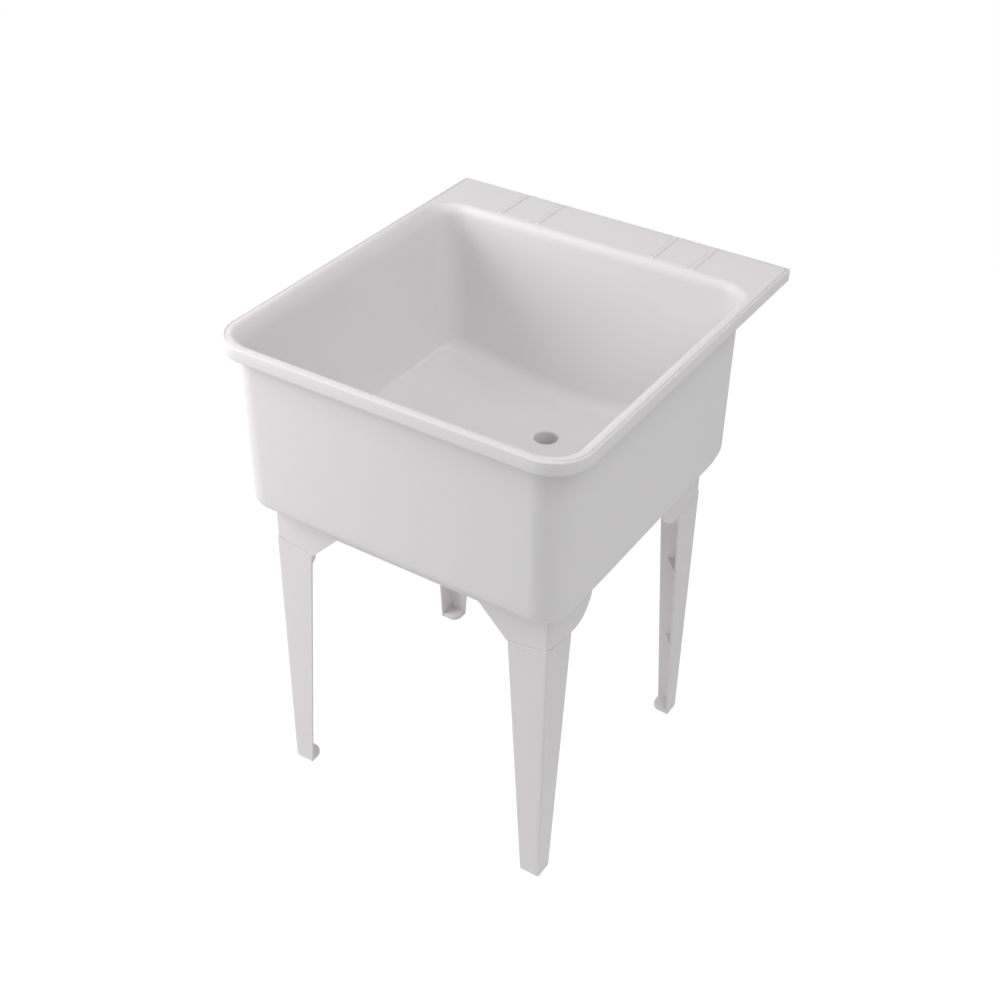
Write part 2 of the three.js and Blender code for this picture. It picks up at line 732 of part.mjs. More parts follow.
// What is cut off above the shoulder on one flange: the same curve as the collar's lower edge, kept
// clear of it. The outline runs along the flange from the corner.
function aboveShoulder(width) {
  const high = COLLAR_CORNER_Z + 2 * PASS;
  const shape = new THREE.Shape();
  shape.moveTo(-PASS, COLLAR_CORNER_Z - CLEARANCE);
  shape.lineTo(0, COLLAR_CORNER_Z - CLEARANCE);
  const bowZ = COLLAR_END_Z + COLLAR_BOW - CLEARANCE;
  shape.quadraticCurveTo(width / 2, bowZ, width, COLLAR_END_Z - CLEARANCE);
  shape.lineTo(width + PASS, COLLAR_END_Z - CLEARANCE);
  shape.lineTo(width + PASS, high);
  shape.lineTo(-PASS, high);
  return shape;
}

function legGusset(z) {
  const inner = LEG_WALL / 2;
  const shape = new THREE.Shape([
    new THREE.Vector2(inner, inner),
    new THREE.Vector2(GUSSET_SHARE * frontFlange(z), inner),
    new THREE.Vector2(inner, GUSSET_SHARE * sideFlange(z)),
  ]);
  return prismAlongZ(shape, z - GUSSET_WALL / 2, z + GUSSET_WALL / 2);
}

function legPad() {
  const x = LEG_FOOT_FRONT;
  const y = LEG_FOOT_SIDE;
  const shape = new THREE.Shape();
  shape.moveTo(LEG_CORNER, 0);
  shape.lineTo(x, 0);
  shape.lineTo(x, y - PAD_ROUND);
  shape.absarc(x - PAD_ROUND, y - PAD_ROUND, PAD_ROUND, 0, Math.PI / 2, false);
  shape.lineTo(0, y);
  shape.lineTo(0, LEG_CORNER);
  shape.absarc(LEG_CORNER, LEG_CORNER, LEG_CORNER, Math.PI, 1.5 * Math.PI, false);
  return prismAlongZ(shape, 0, PAD_HEIGHT);
}

function legGeometry() {
  const top = COLLAR_CORNER_Z + PASS;
  const level = (z, wall) => (
    { front: frontFlange(z), side: sideFlange(z), wall, offset: 0, radius: LEG_CORNER, z }
  );
  const shoulderWall = LEG_PROUD + TONGUE_OFFSET + LEG_WALL;
  const shoulderBottom = COLLAR_END_Z - SHOULDER_HEIGHT;
  const reach = LEG_PROUD + TONGUE_OFFSET;
  const post = joined([
    angleLoft([level(0, LEG_WALL), level(top, LEG_WALL)]),
    angleLoft([level(shoulderBottom, shoulderWall), level(top, shoulderWall)]),
    ...GUSSET_HEIGHTS.map(legGusset),
    legPad(),
  ])
    .subtract(prismAlongY(aboveShoulder(COLLAR_FRONT_WIDTH + LEG_PROUD), -PASS, reach))
    .subtract(prismAlongX(aboveShoulder(COLLAR_SIDE_WIDTH + LEG_PROUD), -PASS, reach))
    .subtract(block(reach - FLUSH, WIDTH, reach - FLUSH, DEPTH, COLLAR_END_Z, COLLAR_CORNER_Z + 2 * PASS));
  const tongue = {
    front: TONGUE_WIDTH,
    side: TONGUE_WIDTH,
    wall: LEG_WALL,
    offset: reach,
    radius: SKIRT_INNER_CORNER,
  };
  const blade = angleLoft([
    { ...tongue, z: shoulderBottom + LEG_WALL },
    { ...tongue, z: TONGUE_TOP - 2 * LEG_WALL },
    { ...tongue, front: TONGUE_WIDTH - LEG_WALL, side: TONGUE_WIDTH - LEG_WALL, z: TONGUE_TOP },
  ]);
  const whole = post.add(blade)
    .translate([-SKIRT_HALF - LEG_PROUD, SKIRT_FRONT - SKIRT_MIDDLE - LEG_PROUD, 0]);
  return geometryOf(whole.subtract(cornerHoles));
}

// ---------------------------------------------------------------- drain

function washerGeometry() {
  const outer = WASHER_OUTER / 2;
  const inner = TAILPIECE_OUTER / 2 - TAILPIECE_WALL;
  const low = WASHER_TOP - WASHER_THICKNESS;
  return turned([
    [inner, low],
    [outer, low],
    [outer, WASHER_TOP],
    [inner, WASHER_TOP],
    [inner, low],
  ], BORE_STEPS);
}

function tailpieceGeometry() {
  const outer = TAILPIECE_OUTER / 2;
  const inner = outer - TAILPIECE_WALL;
  const flange = TAILPIECE_FLANGE / 2;
  const low = TAILPIECE_TOP - TAILPIECE_LENGTH;
  const underFlange = TAILPIECE_TOP - TAILPIECE_FLANGE_THICKNESS;
  return turned([
    [inner, low],
    [outer, low],
    [outer, underFlange],
    [flange, underFlange],
    [flange, TAILPIECE_TOP],
    [inner, TAILPIECE_TOP],
    [inner, low],
  ], BORE_STEPS);
}

function nutGeometry() {
  const bore = SPIGOT_OUTER / 2 + CLEARANCE;
  const outer = bore + NUT_WALL;
  const lip = TAILPIECE_OUTER / 2 + CLEARANCE;
  const top = SPIGOT_BOTTOM + NUT_GRIP;
  const low = NUT_LIP_TOP - NUT_LIP;
  const ringSolid = solidOf(turned([
    [lip, low],
    [outer - NUT_CHAMFER, low],
    [outer, low + NUT_CHAMFER],
    [outer, top],
    [bore, top],
    [bore, NUT_LIP_TOP],
    [lip, NUT_LIP_TOP],
    [lip, low],
  ], BORE_STEPS));
  const wings = [];
  for (let i = 0; i < NUT_WINGS; i += 1) {
    const wing = new THREE.BoxGeometry(NUT_WING.height + NUT_WALL / 2, NUT_WING.width, top - low - NUT_WALL);
    wing.translate(outer + NUT_WING.height / 2 - NUT_WALL / 4, 0, (top + low) / 2);
    wing.rotateZ((2 * Math.PI * i) / NUT_WINGS);
    wings.push(solidOf(wing));
  }
  return geometryOf(ringSolid.add(joined(wings)));
}

// ---------------------------------------------------------------- materials and assembly

const plastic = (color, roughness) => new THREE.MeshStandardMaterial({ color, roughness, metalness: 0 });
const tubPlastic = plastic(0xd9d5d4, 0.42);
const legPlastic = plastic(0xd4d0cf, 0.5);
const nutPlastic = plastic(0xd2d2d0, 0.4);
const rubber = plastic(0x2b2b2c, 0.9);
const steel = new THREE.MeshStandardMaterial({ color: 0xb8babd, roughness: 0.35, metalness: 1 });

const sink = new THREE.Group();

function addPiece(name, geometry, material, y = 0) {
  const mesh = new THREE.Mesh(geometry, material);
  mesh.name = name;
  mesh.position.y = y;
  sink.add(mesh);
}

addPiece('tub', tubGeometry(), tubPlastic);

const leg = legGeometry();
const screw = screwGeometry();
atEachCorner((x, y) => {
  const corner = `${y < 0 ? 'front' : 'back'}_${x < 0 ? 'left' : 'right'}`;
  addPiece(`leg_${corner}`, atCorner(leg, x, y), legPlastic);
  screwPlaces().forEach((place, i) => {
    addPiece(`screw_${corner}_${i + 1}`, atCorner(placedAtScrew(screw, place), x, y), steel);
  });
});

addPiece('drain_washer', washerGeometry(), rubber, DRAIN_Y);
addPiece('tailpiece', tailpieceGeometry(), nutPlastic, DRAIN_Y);
addPiece('coupling_nut', nutGeometry(), nutPlastic, DRAIN_Y);

export default sink;
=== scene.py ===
# %% [markdown]
# # A moulded laundry sink
#
# A utility sink of this kind is one big plastic moulding, the tub, on four plastic legs. The tub has
# a deep basin with a drain, a rolled rim, a flat deck at the back with raised bars, and a short skirt
# underneath whose corners take the legs. The legs are angle sections, like folded strips, that get
# wider towards the top.
#
# The solids of the sink are already there as a frame. They say how big everything is and where it
# stands. This script dresses them: smooth walls in place of faceted ones, fine edges, and plastic,
# rubber and steel that look like themselves.

# %% Load the frame
import json
import math
from collections import namedtuple

import bmesh
import bpy
from mathutils import Matrix, Vector

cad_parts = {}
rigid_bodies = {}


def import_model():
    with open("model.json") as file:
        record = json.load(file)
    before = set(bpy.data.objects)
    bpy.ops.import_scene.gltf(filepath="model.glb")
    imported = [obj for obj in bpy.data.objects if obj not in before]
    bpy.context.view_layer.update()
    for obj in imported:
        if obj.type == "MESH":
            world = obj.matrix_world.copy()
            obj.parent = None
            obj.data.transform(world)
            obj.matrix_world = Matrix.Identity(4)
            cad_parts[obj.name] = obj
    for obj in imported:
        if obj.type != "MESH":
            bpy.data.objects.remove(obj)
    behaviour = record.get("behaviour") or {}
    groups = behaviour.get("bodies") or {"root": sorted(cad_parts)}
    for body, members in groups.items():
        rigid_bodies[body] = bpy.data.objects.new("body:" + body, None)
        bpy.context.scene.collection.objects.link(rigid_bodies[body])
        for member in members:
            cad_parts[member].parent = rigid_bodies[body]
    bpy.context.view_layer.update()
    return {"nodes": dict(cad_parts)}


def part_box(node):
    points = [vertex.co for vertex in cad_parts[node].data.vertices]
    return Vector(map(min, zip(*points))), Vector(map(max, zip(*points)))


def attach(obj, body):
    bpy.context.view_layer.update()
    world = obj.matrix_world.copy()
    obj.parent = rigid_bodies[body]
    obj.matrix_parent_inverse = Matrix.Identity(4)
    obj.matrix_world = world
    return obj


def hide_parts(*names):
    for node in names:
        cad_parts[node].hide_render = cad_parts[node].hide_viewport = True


for spare in list(bpy.data.objects):
    bpy.data.objects.remove(spare)
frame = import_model()

# %% [markdown]
# ## The camera
#
# The sink is seen from its front right corner and from above, about 36 degrees down. The distance
# matters as much as the angle: it sets how quickly the legs draw together towards the floor. Both
# were worked out from the straight edges of the rim, the body and the legs.
#
# Turning the camera about its own axes one at a time, first the compass direction, then the tilt,
# then a very small roll, keeps each number readable.

# %% Camera
CAMERA_PLACE = Vector((1.0644, -1.7096, 1.9545))
CAMERA_TURN = math.radians(32.20)
CAMERA_DOWN = math.radians(35.98)
CAMERA_ROLL = math.radians(0.99)
CAMERA_LENS = 54.17


def make_camera():
    camera = bpy.data.objects.new("camera", bpy.data.cameras.new("camera"))
    bpy.context.scene.collection.objects.link(camera)
    camera.data.lens = CAMERA_LENS
    camera.matrix_world = (
        Matrix.Translation(CAMERA_PLACE)
        @ Matrix.Rotation(CAMERA_TURN, 4, "Z")
        @ Matrix.Rotation(math.pi / 2 - CAMERA_DOWN, 4, "X")
        @ Matrix.Rotation(CAMERA_ROLL, 4, "Z")
    )
    bpy.context.scene.camera = camera


make_camera()
print("camera at", tuple(CAMERA_PLACE))

# %% [markdown]
# ## Shader maths as plain expressions
#
# A procedural material is a sum: a little noise, scaled and shifted, added to a roughness. Built by
# hand that is a string of Math nodes. A small class that wraps a socket and overloads the operators
# lets the sum be written as a sum, and adds the nodes behind it. Every other kind of node comes from
# one method, which sets the node's settings first and its sockets second. Materials and the world are
# both trees of nodes, so they share it.


# %% Sockets that can be added and multiplied
class Value:
    """An output socket that takes part in arithmetic."""

    def __init__(self, nodes, socket):
        self.nodes = nodes
        self.socket = socket

    def _math(self, operation, other):
        return self.nodes.node("ShaderNodeMath", {"operation": operation}, {0: self, 1: other})

    def __add__(self, other):
        return self._math("ADD", other)

    def __sub__(self, other):
        return self._math("SUBTRACT", other)

    def __mul__(self, other):
        return self._math("MULTIPLY", other)


class Nodes:
    """The node tree of a material or a world, with one method that adds any node."""

    def __init__(self, tree):
        self.tree = tree

    def node(self, kind, settings, inputs, output=0):
        made = self.tree.nodes.new(kind)
        for name, value in settings.items():
            setattr(made, name, value)
        for key, value in inputs.items():
            self.plug(made.inputs[key], value)
        return Value(self, made.outputs[output])

    def plug(self, socket, value):
        if isinstance(value, Value):
            self.tree.links.new(value.socket, socket)
        else:
            socket.default_value = value


class Finish(Nodes):
    """A material under construction, with one Principled shader."""

    def __init__(self, name):
        self.material = bpy.data.materials.new(name)
        self.material.use_nodes = True
        super().__init__(self.material.node_tree)
        self.shader = self.tree.nodes["Principled BSDF"]
        self.place = self.node("ShaderNodeTexCoord", {}, {}, output="Object")

    def noise(self, scale, detail, roughness=0.6):
        inputs = {"Vector": self.place, "Scale": scale, "Detail": detail, "Roughness": roughness}
        return self.node("ShaderNodeTexNoise", {}, inputs, output="Fac")

    def blend(self, share, dark, light):
        inputs = {"Factor": share, "A": dark + (1.0,), "B": light + (1.0,)}
        return self.node("ShaderNodeMix", {"data_type": "RGBA"}, inputs, output="Result")

    def bump(self, height, strength, distance):
        inputs = {"Strength": strength, "Distance": distance, "Height": height}
        return self.node("ShaderNodeBump", {}, inputs, output="Normal")

    def set(self, **sockets):
        for name, value in sockets.items():
            self.plug(self.shader.inputs[name.replace("_", " ")], value)


print("shader maths ready")

# %% [markdown]
# ## Moulded plastic
#
# The tub and the legs are off-white thermoplastic with a satin skin. Close up such a skin isn't
# flat: the mould leaves a fine grain, the melt flows a little unevenly so that the tone drifts by a
# shade over a hand's width, and the gloss drifts with it. Three noises at three scales give that: one
# for the drift of tone, one for the drift of gloss, and a very fine one for the grain, which only
# tilts the surface and doesn't colour it.
#
# The pattern is read from Object coordinates. Every piece sits at the origin with its place in its
# mesh, so the grain runs on from piece to piece and has its real size, in metres.

# %% Plastic
DRIFT_PER_METRE = 5.5
GLOSS_PER_METRE = 16.0
GRAIN_PER_METRE = 1500.0
GRAIN_HEIGHT = 0.0002
DRIFT = 0.012
GLOSS_RANGE = 0.12
PLASTIC_IOR = 1.49


def shade(colour, factor):
    return tuple(min(1.0, part * factor) for part in colour)


def moulded_plastic(name, colour, gloss, grain=0.05):
    """Satin moulded plastic: gloss is its roughness, grain the strength of its bump."""
    finish = Finish(name)
    tone = finish.noise(DRIFT_PER_METRE, detail=3.0, roughness=0.5)
    patches = finish.noise(GLOSS_PER_METRE, detail=4.0)
    finish.set(
        Base_Color=finish.blend(tone, shade(colour, 1 - DRIFT), shade(colour, 1 + DRIFT)),
        Roughness=(patches - 0.5) * GLOSS_RANGE + gloss,
        Normal=finish.bump(finish.noise(GRAIN_PER_METRE, detail=2.0), grain, GRAIN_HEIGHT),
        IOR=PLASTIC_IOR,
    )
    return finish.material


TUB_COLOUR = (0.823, 0.807, 0.812)
LEG_COLOUR = (0.818, 0.802, 0.807)
FITTING_COLOUR = (0.810, 0.810, 0.800)

tub_plastic = moulded_plastic("tub plastic", TUB_COLOUR, gloss=0.48)
leg_plastic = moulded_plastic("leg plastic", LEG_COLOUR, gloss=0.52)
fitting_plastic = moulded_plastic("fitting plastic", FITTING_COLOUR, gloss=0.32, grain=0.03)
print("plastics made")

# %% [markdown]
# ## Growing a wall from a ring
#
# The tub is one skin that folds round itself: up through the drain, across the floor, up the basin's
# walls, over the rim, down the lip, in under the deck, down the outside of the body, and back to the
# drain along the underside. Every part of that skin is a ring around the sink, most often a rectangle
# with round corners.
#
# It could be cut from a box by a boolean, or shrink-wrapped on the solid. Growing it ring by ring is
# cleaner. The first ring is a rectangle whose corners are bevelled and whose sides are cut where
# something will need a vertex later. Each next ring is the open edge extruded and moved to its place.
# All the faces are quads that follow the shape, and a round edge is just a few rings close together.
#
# Each vertex keeps its station, which is where it belongs on any such ring: on which corner and at
# which angle, or on which side and how far along.

# %% Rings and stations
MM = 0.001
SLACK = 0.001
TOUCH = 0.00001
CORNER_STEPS = 20

Outline = namedtuple("Outline", "half front back front_radius back_radius")
Station = namedtuple("Station", "corner along nx ny")


def within(outline, insets, front_radius, back_radius):
    """An outline that stands in from another by side, front and back insets."""
    side, front, back = insets
    front, back = outline.front + front, outline.back - back
    return Outline(outline.half - side, front, back, front_radius, back_radius)


def rounded(bm, geom, size, steps, affect="VERTICES"):
    """Rounds edges, or the corners of a flat outline, by a bevel."""
    bmesh.ops.bevel(
        bm,
        geom=geom,
        offset=size,
        offset_type="OFFSET",
        segments=steps,
        profile=0.5,
        affect=affect,
        clamp_overlap=affect == "EDGES",
        material=-1,
    )


def only(kind, geometry):
    return [item for item in geometry if isinstance(item, kind)]


def around(sizes, station):
    """A size that differs between the sides, the front and the back, for a station's direction."""
    if isinstance(sizes, (int, float)):
        return sizes
    side, front, back = sizes
    end = front if station.ny < 0 else back
    return side * station.nx**2 + end * station.ny**2


def corner_of(outline, corner):
    """The radius and the centre of one of an outline's round corners."""
    in_front = corner.y < 0
    radius = outline.front_radius if in_front else outline.back_radius
    y = outline.front + radius if in_front else outline.back - radius
    return radius, corner.x * (outline.half - radius), y


def place_on(outline, station, inset=0.0):
    """Where a station is on an outline, in the plane, moved inwards by inset."""
    if station.along is None:
        radius, x, y = corner_of(outline, station.corner)
        x, y = x + radius * station.nx, y + radius * station.ny
    elif station.nx:
        x, y = station.nx * outline.half, station.along
    else:
        x, y = station.along, outline.front if station.ny < 0 else outline.back
    move = around(inset, station)
    return Vector((x - move * station.nx, y - move * station.ny))


def station_of(point, outline):
    """The station of a vertex of the first ring."""
    corner = Vector((math.copysign(1, point.x), math.copysign(1, point.y)))
    radius, centre_x, centre_y = corner_of(outline, corner)
    off_x, off_y = (point.x - centre_x) * corner.x, (point.y - centre_y) * corner.y
    if off_x > -SLACK and off_y > -SLACK:
        return Station(corner, None, corner.x * off_x / radius, corner.y * off_y / radius)
    if off_x > -SLACK:
        return Station(corner, point.y, corner.x, 0.0)
    return Station(corner, point.x, 0.0, corner.y)


class Skin:
    """A wall that grows ring by ring around the z axis, in millimetres."""

    def __init__(self, outline, cuts_x, cuts_y):
        self.bm = bmesh.new()
        corners = [(-1, outline.front), (1, outline.front), (1, outline.back), (-1, outline.back)]
        verts = [self.bm.verts.new((side * outline.half, y, 0)) for side, y in corners]
        for i in range(4):
            self.bm.edges.new((verts[i - 1], verts[i]))
        for pair, radius in ((verts[:2], outline.front_radius), (verts[2:], outline.back_radius)):
            rounded(self.bm, pair, radius, CORNER_STEPS)
        planes = [((x, 0, 0), (1, 0, 0)) for x in cuts_x] + [((0, y, 0), (0, 1, 0)) for y in cuts_y]
        for place, normal in planes:
            geom = self.bm.verts[:] + self.bm.edges[:]
            bmesh.ops.bisect_plane(self.bm, geom=geom, dist=TOUCH, plane_co=place, plane_no=normal)
        self.layer = self.bm.verts.layers.int.new("station")
        self.stations = [station_of(vert.co, outline) for vert in self.bm.verts]
        for number, vert in enumerate(self.bm.verts):
            vert[self.layer] = number
        self.open_edges = self.bm.edges[:]
        self.rings = 0

    def ring(self, outline, inset=0.0, z=0.0):
        """The places of one ring. inset may be a function of the station, z of point and station."""
        places = []
        for station in self.stations:
            point = place_on(outline, station, inset(station) if callable(inset) else inset)
            height = z(point, station) if callable(z) else z
            places.append(Vector((point.x, point.y, height)))
        return places

    def grow_one(self, places):
        """Extrudes the open edge to the next ring, or moves the first ring to its place."""
        if self.rings:
            made = bmesh.ops.extrude_edge_only(self.bm, edges=self.open_edges)["geom"]
            self.open_edges = only(bmesh.types.BMEdge, made)
        moving = {vert for edge in self.open_edges for vert in edge.verts}
        for vert in moving:
            vert.co = places[vert[self.layer]]
        self.rings += 1

    def grow(self, rings):
        for places in rings:
            self.grow_one(places)


def shares(steps):
    """Even shares of a way, up to its end."""
    return [(step + 1) / steps for step in range(steps)]


def loft(lower, upper, places):
    """Rings at the given shares of the way from one ring to another."""
    return [[a.lerp(b, share) for a, b in zip(lower, upper)] for share in places]


def quarter(steps, start=0):
    """Angles of a quarter turn, as pairs of (1 - cos, 1 - sin)."""
    turns = [math.pi / 2 * step / steps for step in range(start, steps + 1)]
    return [(1 - math.cos(turn), 1 - math.sin(turn)) for turn in turns]


print("rings ready,", CORNER_STEPS, "steps to a corner")

# %% [markdown]
# ## Sizes of the tub
#
# The outer sizes come from the frame. The rest are the tub's own: how far the body stands in from
# the lip, how the walls lean so that the moulding leaves its mould, how wide the rolled edge is on
# each side. Sizes that differ round the tub are vectors of side, front and back, so that they can be
# added and scaled like single numbers.

# %% Tub sizes
tub_low, tub_high = (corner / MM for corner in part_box("tub"))
WIDTH_HALF, FRONT, BACK, TOP = tub_high.x, tub_low.y, tub_high.y, tub_high.z

BAR_HEIGHT = 1.0
RIM_Z = TOP - BAR_HEIGHT
LIP_DROP = Vector((20.0, 21.5, 20.0))
LIP_WALL = 5.0
LIP_EDGE = Vector((2.4, 6.0, 2.4))
LIP_EDGE_DEPTH = Vector((2.4, 1.6, 2.4))
RIM_THICKNESS = 6.0
RIM_UNDERSIDE = RIM_Z - RIM_THICKNESS
CHANNEL_WIDTH = Vector((2.0, 0.02, 2.0))
CHANNEL_OUTSIDE = Vector((2.5, 0.52, 2.5))
CHANNEL_ROUND = Vector((0.5, 0.0, 0.5))
CHANNEL_DEPTH = Vector((2.2, 0.0, 2.2))
CHANNEL_SOFT = 0.5
CHANNEL_TOP = Vector((0.6, 0.0, 0.6))
EDGE_DROP = Vector((0.2, 0.0, 0.2))

LIP = Outline(WIDTH_HALF, FRONT, BACK, 62.0, 4.5)
LIP_INSIDE = within(LIP, (LIP_WALL, LIP_WALL, LIP_WALL), 57.0, 3.0)
RAISED_TOP = within(LIP, (5.5, 6.8, 6.4), 56.0, 4.5)

BODY = within(LIP, (23.4, 17.0, 99.5), 48.0, 48.0)
BODY_DRAFT = Vector((0.6, 5.0, 1.0))
BODY_BOTTOM = 565.0
BODY_EDGE = 17.0
THROAT = 9.0
THROAT_HEIGHT = 21.0
THROAT_SOFT = 1.0
REAR_CUT_Y = BODY.back - 91.0
REAR_CUT_SLOPE = math.tan(math.radians(24))

WALL = 5.0
FLOOR_WALL = 6.0
BASIN = within(BODY, (WALL, WALL, WALL), 43.0, 43.0)
BASIN_DRAFT = Vector((4.0, 7.0, 3.0))
ROLL = Vector((20.0, 14.0, 11.0))
ROLL_DEPTH = Vector((28.0, 14.0, 20.0))
FILLET = Vector((5.0, 22.0, 30.0))
DRAIN = Vector((0.0, BODY.back - 119.5, 551.0))
DRAIN_BORE = 20.0
DRAIN_ROUND = 5.0
FLOOR_EDGE_FALL = 10.0
FLOOR_BACK_REACH = 150.0
FLOOR_SIDE_RISE = 30.0
FLOOR_SQUARENESS = 4
VALLEY_SOFTNESS = 0.12
DRAIN_DISH = 60.0
FLOOR_HALF = BASIN.half - BASIN_DRAFT[0] - FILLET[0]
FLOOR_FRONT = BASIN.front + BASIN_DRAFT[1] + FILLET[1]

SKIRT = within(LIP, (56.0, 58.0, 137.0), 3.0, 3.0)
SKIRT_WALL = 6.0
SKIRT_SOFT = 0.5
SKIRT_ROOT = 2.0
SKIRT_ROOT_CURVE = ((0.35, -0.6), (1.0, 0.0))
SKIRT_INSIDE = within(SKIRT, (SKIRT_WALL, SKIRT_WALL, SKIRT_WALL), 1.0, 1.0)
SKIRT_MIDDLE = (SKIRT.front + SKIRT.back) / 2
SKIRT_HALF_DEPTH = (SKIRT.back - SKIRT.front) / 2
SKIRT_BOTTOM = 532.0
COLLAR_CORNER_Z = 493.0
COLLAR_END_Z = 480.0
COLLAR_BOW = 2.6
COLLAR_FRONT_WIDTH = 70.5
COLLAR_SIDE_WIDTH = 69.5
WING_FRONT_WIDTH = 121.0
WING_SIDE_WIDTH = 133.0
WING_SAG = 6.0
WING_BEND_SHARE = 0.25

SPIGOT_OUTER = 24.0
SPIGOT_BOTTOM = DRAIN.z - FLOOR_WALL - 30.0
SPIGOT_ROOT = 4.0
SPIGOT_THREAD = 0.8
SPIGOT_PITCH = 3.0
SPIGOT_THREADS = 3
SPIGOT_RIDGE = ((0, 0), (1, 0.3), (1, 0.5), (0, 0.8))
THREAD_START = 1.0
DECK_RIB_PITCH = 76.0
DECK_RIB_HEIGHT = 8.0
DECK_RIB_WALL = 3.5

BAR_WIDTH = 8.0
BAR_CENTRES = (108.0, 179.0)
GROOVE = 1.6
GROOVE_FLANK = 0.4
GROOVE_DEPTH = 1.2
BAR_FLANK = 0.8
BAR_SETBACK = 1.0
BORDER = 4.0
BORDER_HEIGHT = 0.6
print("tub", 2 * WIDTH_HALF, "x", BACK - FRONT, "x", TOP, "mm")

# %% [markdown]
# ## Where the sides are cut
#
# The straight sides of every ring get a vertex wherever a bar, a collar or a wing starts or ends, and
# a few more in between, so that curved edges stay smooth and no quad gets too long.

# %% Cuts across and along the tub
NUDGE = 0.01
BORDER_GAPS = (-121.0, 172.6)
NOTCH = 1.2
WING_STEPS = 7
SPARE_ACROSS = (18, 36, 54, 72, 88, 146, 160, 194, 206, 218, 229)
SPARE_ALONG = (15, 45, 75, 95)
SPARE_COLLAR = (14, 28, 42, 54)


def both_sides(places):
    return [side * place for side in (-1, 1) for place in places]


def cuts(places):
    """Places in order, a hair off the middle, where no cut may run through a vertex."""
    return sorted({round(place + NUDGE, 3) for place in places})


half_widths = (BAR_WIDTH / 2, BAR_WIDTH / 2 + GROOVE)
bar_edges = [centre + edge for centre in BAR_CENTRES for edge in both_sides(half_widths)]
notch_edges = [gap + edge for gap in BORDER_GAPS for edge in both_sides([NOTCH / 2])]
collar_cuts = [SKIRT.half - width for width in (COLLAR_FRONT_WIDTH, WING_FRONT_WIDTH)]
CUTS_X = cuts(both_sides([*bar_edges, *collar_cuts, *SPARE_ACROSS]) + notch_edges)

wing_end = SKIRT_HALF_DEPTH - COLLAR_SIDE_WIDTH
wing_foot = SKIRT_HALF_DEPTH - WING_SIDE_WIDTH
wing_cuts = [wing_foot + (wing_end - wing_foot) * step / WING_STEPS for step in range(WING_STEPS + 1)]
along = both_sides([*wing_cuts, *SPARE_ALONG, *(wing_end + place for place in SPARE_COLLAR)])
CUTS_Y = cuts(SKIRT_MIDDLE + place for place in along)
print(len(CUTS_X), "cuts across,", len(CUTS_Y), "along")

# %% [markdown]
# ## The basin
#
# From the drain the floor rises as a shallow valley: highest at the two side walls, lowest along the
# middle, so that water runs to the middle and then back to the drain. At the sides floor and wall
# meet in a crisp fold, at the back in a wide soft sweep. Then the walls lean out a little on their
# way up, and roll over into the rim.


# %% Basin rings
def eased(share):
    share = min(1.0, max(0.0, share))
    return share * share * (3 - 2 * share)


def floor_height(x, y):
    """Height of the floor: a valley across the basin that also falls towards the drain."""
    bend = math.hypot(x / FLOOR_HALF, VALLEY_SOFTNESS) - VALLEY_SOFTNESS
    whole = math.hypot(1, VALLEY_SOFTNESS) - VALLEY_SOFTNESS
    reach = FLOOR_BACK_REACH if y > DRAIN.y else DRAIN.y - FLOOR_FRONT
    shares = (abs(x) / FLOOR_HALF, abs(y - DRAIN.y) / reach)
    fall = sum(share**FLOOR_SQUARENESS for share in shares) ** (1 / FLOOR_SQUARENESS)
    rise = FLOOR_SIDE_RISE * bend / whole + FLOOR_EDGE_FALL * min(1.0, fall)
    away = math.hypot(x - DRAIN.x, y - DRAIN.y) - DRAIN_BORE - DRAIN_ROUND
    return DRAIN.z + rise * eased(away / DRAIN_DISH)


def fillet_inset(reach):
    return BASIN_DRAFT + FILLET * reach


def wall_foot(station):
    """Where the floor ends and the curve into the wall starts."""
    return place_on(BASIN, station, fillet_inset(1))


def drain_ring(skin, radius, z):
    places = []
    for station in skin.stations:
        point = place_on(BASIN, station)
        angle = math.atan2(point.y - DRAIN.y, point.x - DRAIN.x)
        places.append(Vector((radius * math.cos(angle), DRAIN.y + radius * math.sin(angle), z)))
    return places


def fillet_rings(skin, steps=10):
    """The curve from the floor into the wall."""
    rings = []
    for rise, reach in quarter(steps):

        def height(_point, station, rise=rise):
            return floor_height(*wall_foot(station)) + around(FILLET, station) * rise

        rings.append(skin.ring(BASIN, fillet_inset(reach), height))
    return rings


def below_rim(depth, above=0.0):
    """The height of a ring whose depth below the rim differs between its sides."""
    return lambda _point, station: RIM_Z - around(depth, station) + above


def roll_rings(skin, steps=14):
    """The rolled edge, from the wall up and out to the flat of the rim."""
    return [skin.ring(BASIN, -ROLL * out, below_rim(ROLL_DEPTH * down)) for out, down in quarter(steps)]


def floor_rings(edge, foot, steps=16):
    flat = loft(edge, foot, shares(steps)[:-1])
    return [[Vector((p.x, p.y, floor_height(p.x, p.y))) for p in places] for places in flat]


def basin_rings(skin, steps=8):
    rings = [drain_ring(skin, DRAIN_BORE, SPIGOT_BOTTOM)]
    for out, down in quarter(6):
        rings.append(drain_ring(skin, DRAIN_BORE + DRAIN_ROUND * out, DRAIN.z - DRAIN_ROUND * down))
    fillet = fillet_rings(skin)
    rings += floor_rings(rings[-1], fillet[0]) + fillet
    roll = roll_rings(skin)
    return rings + loft(fillet[-1], roll[0], shares(steps)[:-1]) + roll


# %% [markdown]
# ## The deck, the rim and the lip
#
# A narrow channel runs round the top, a few millimetres inside the lip's edge. It shows as a fine dark
# line along the sides and the back. In front there is none: the top runs straight out to a wider, softer
# edge. The channel's sizes go to nothing towards the front, so it fades out round the front corners.
#
# A ring just inside and just outside of each round edge holds the flat parts flat, because smooth
# shading would otherwise bend the light across them.


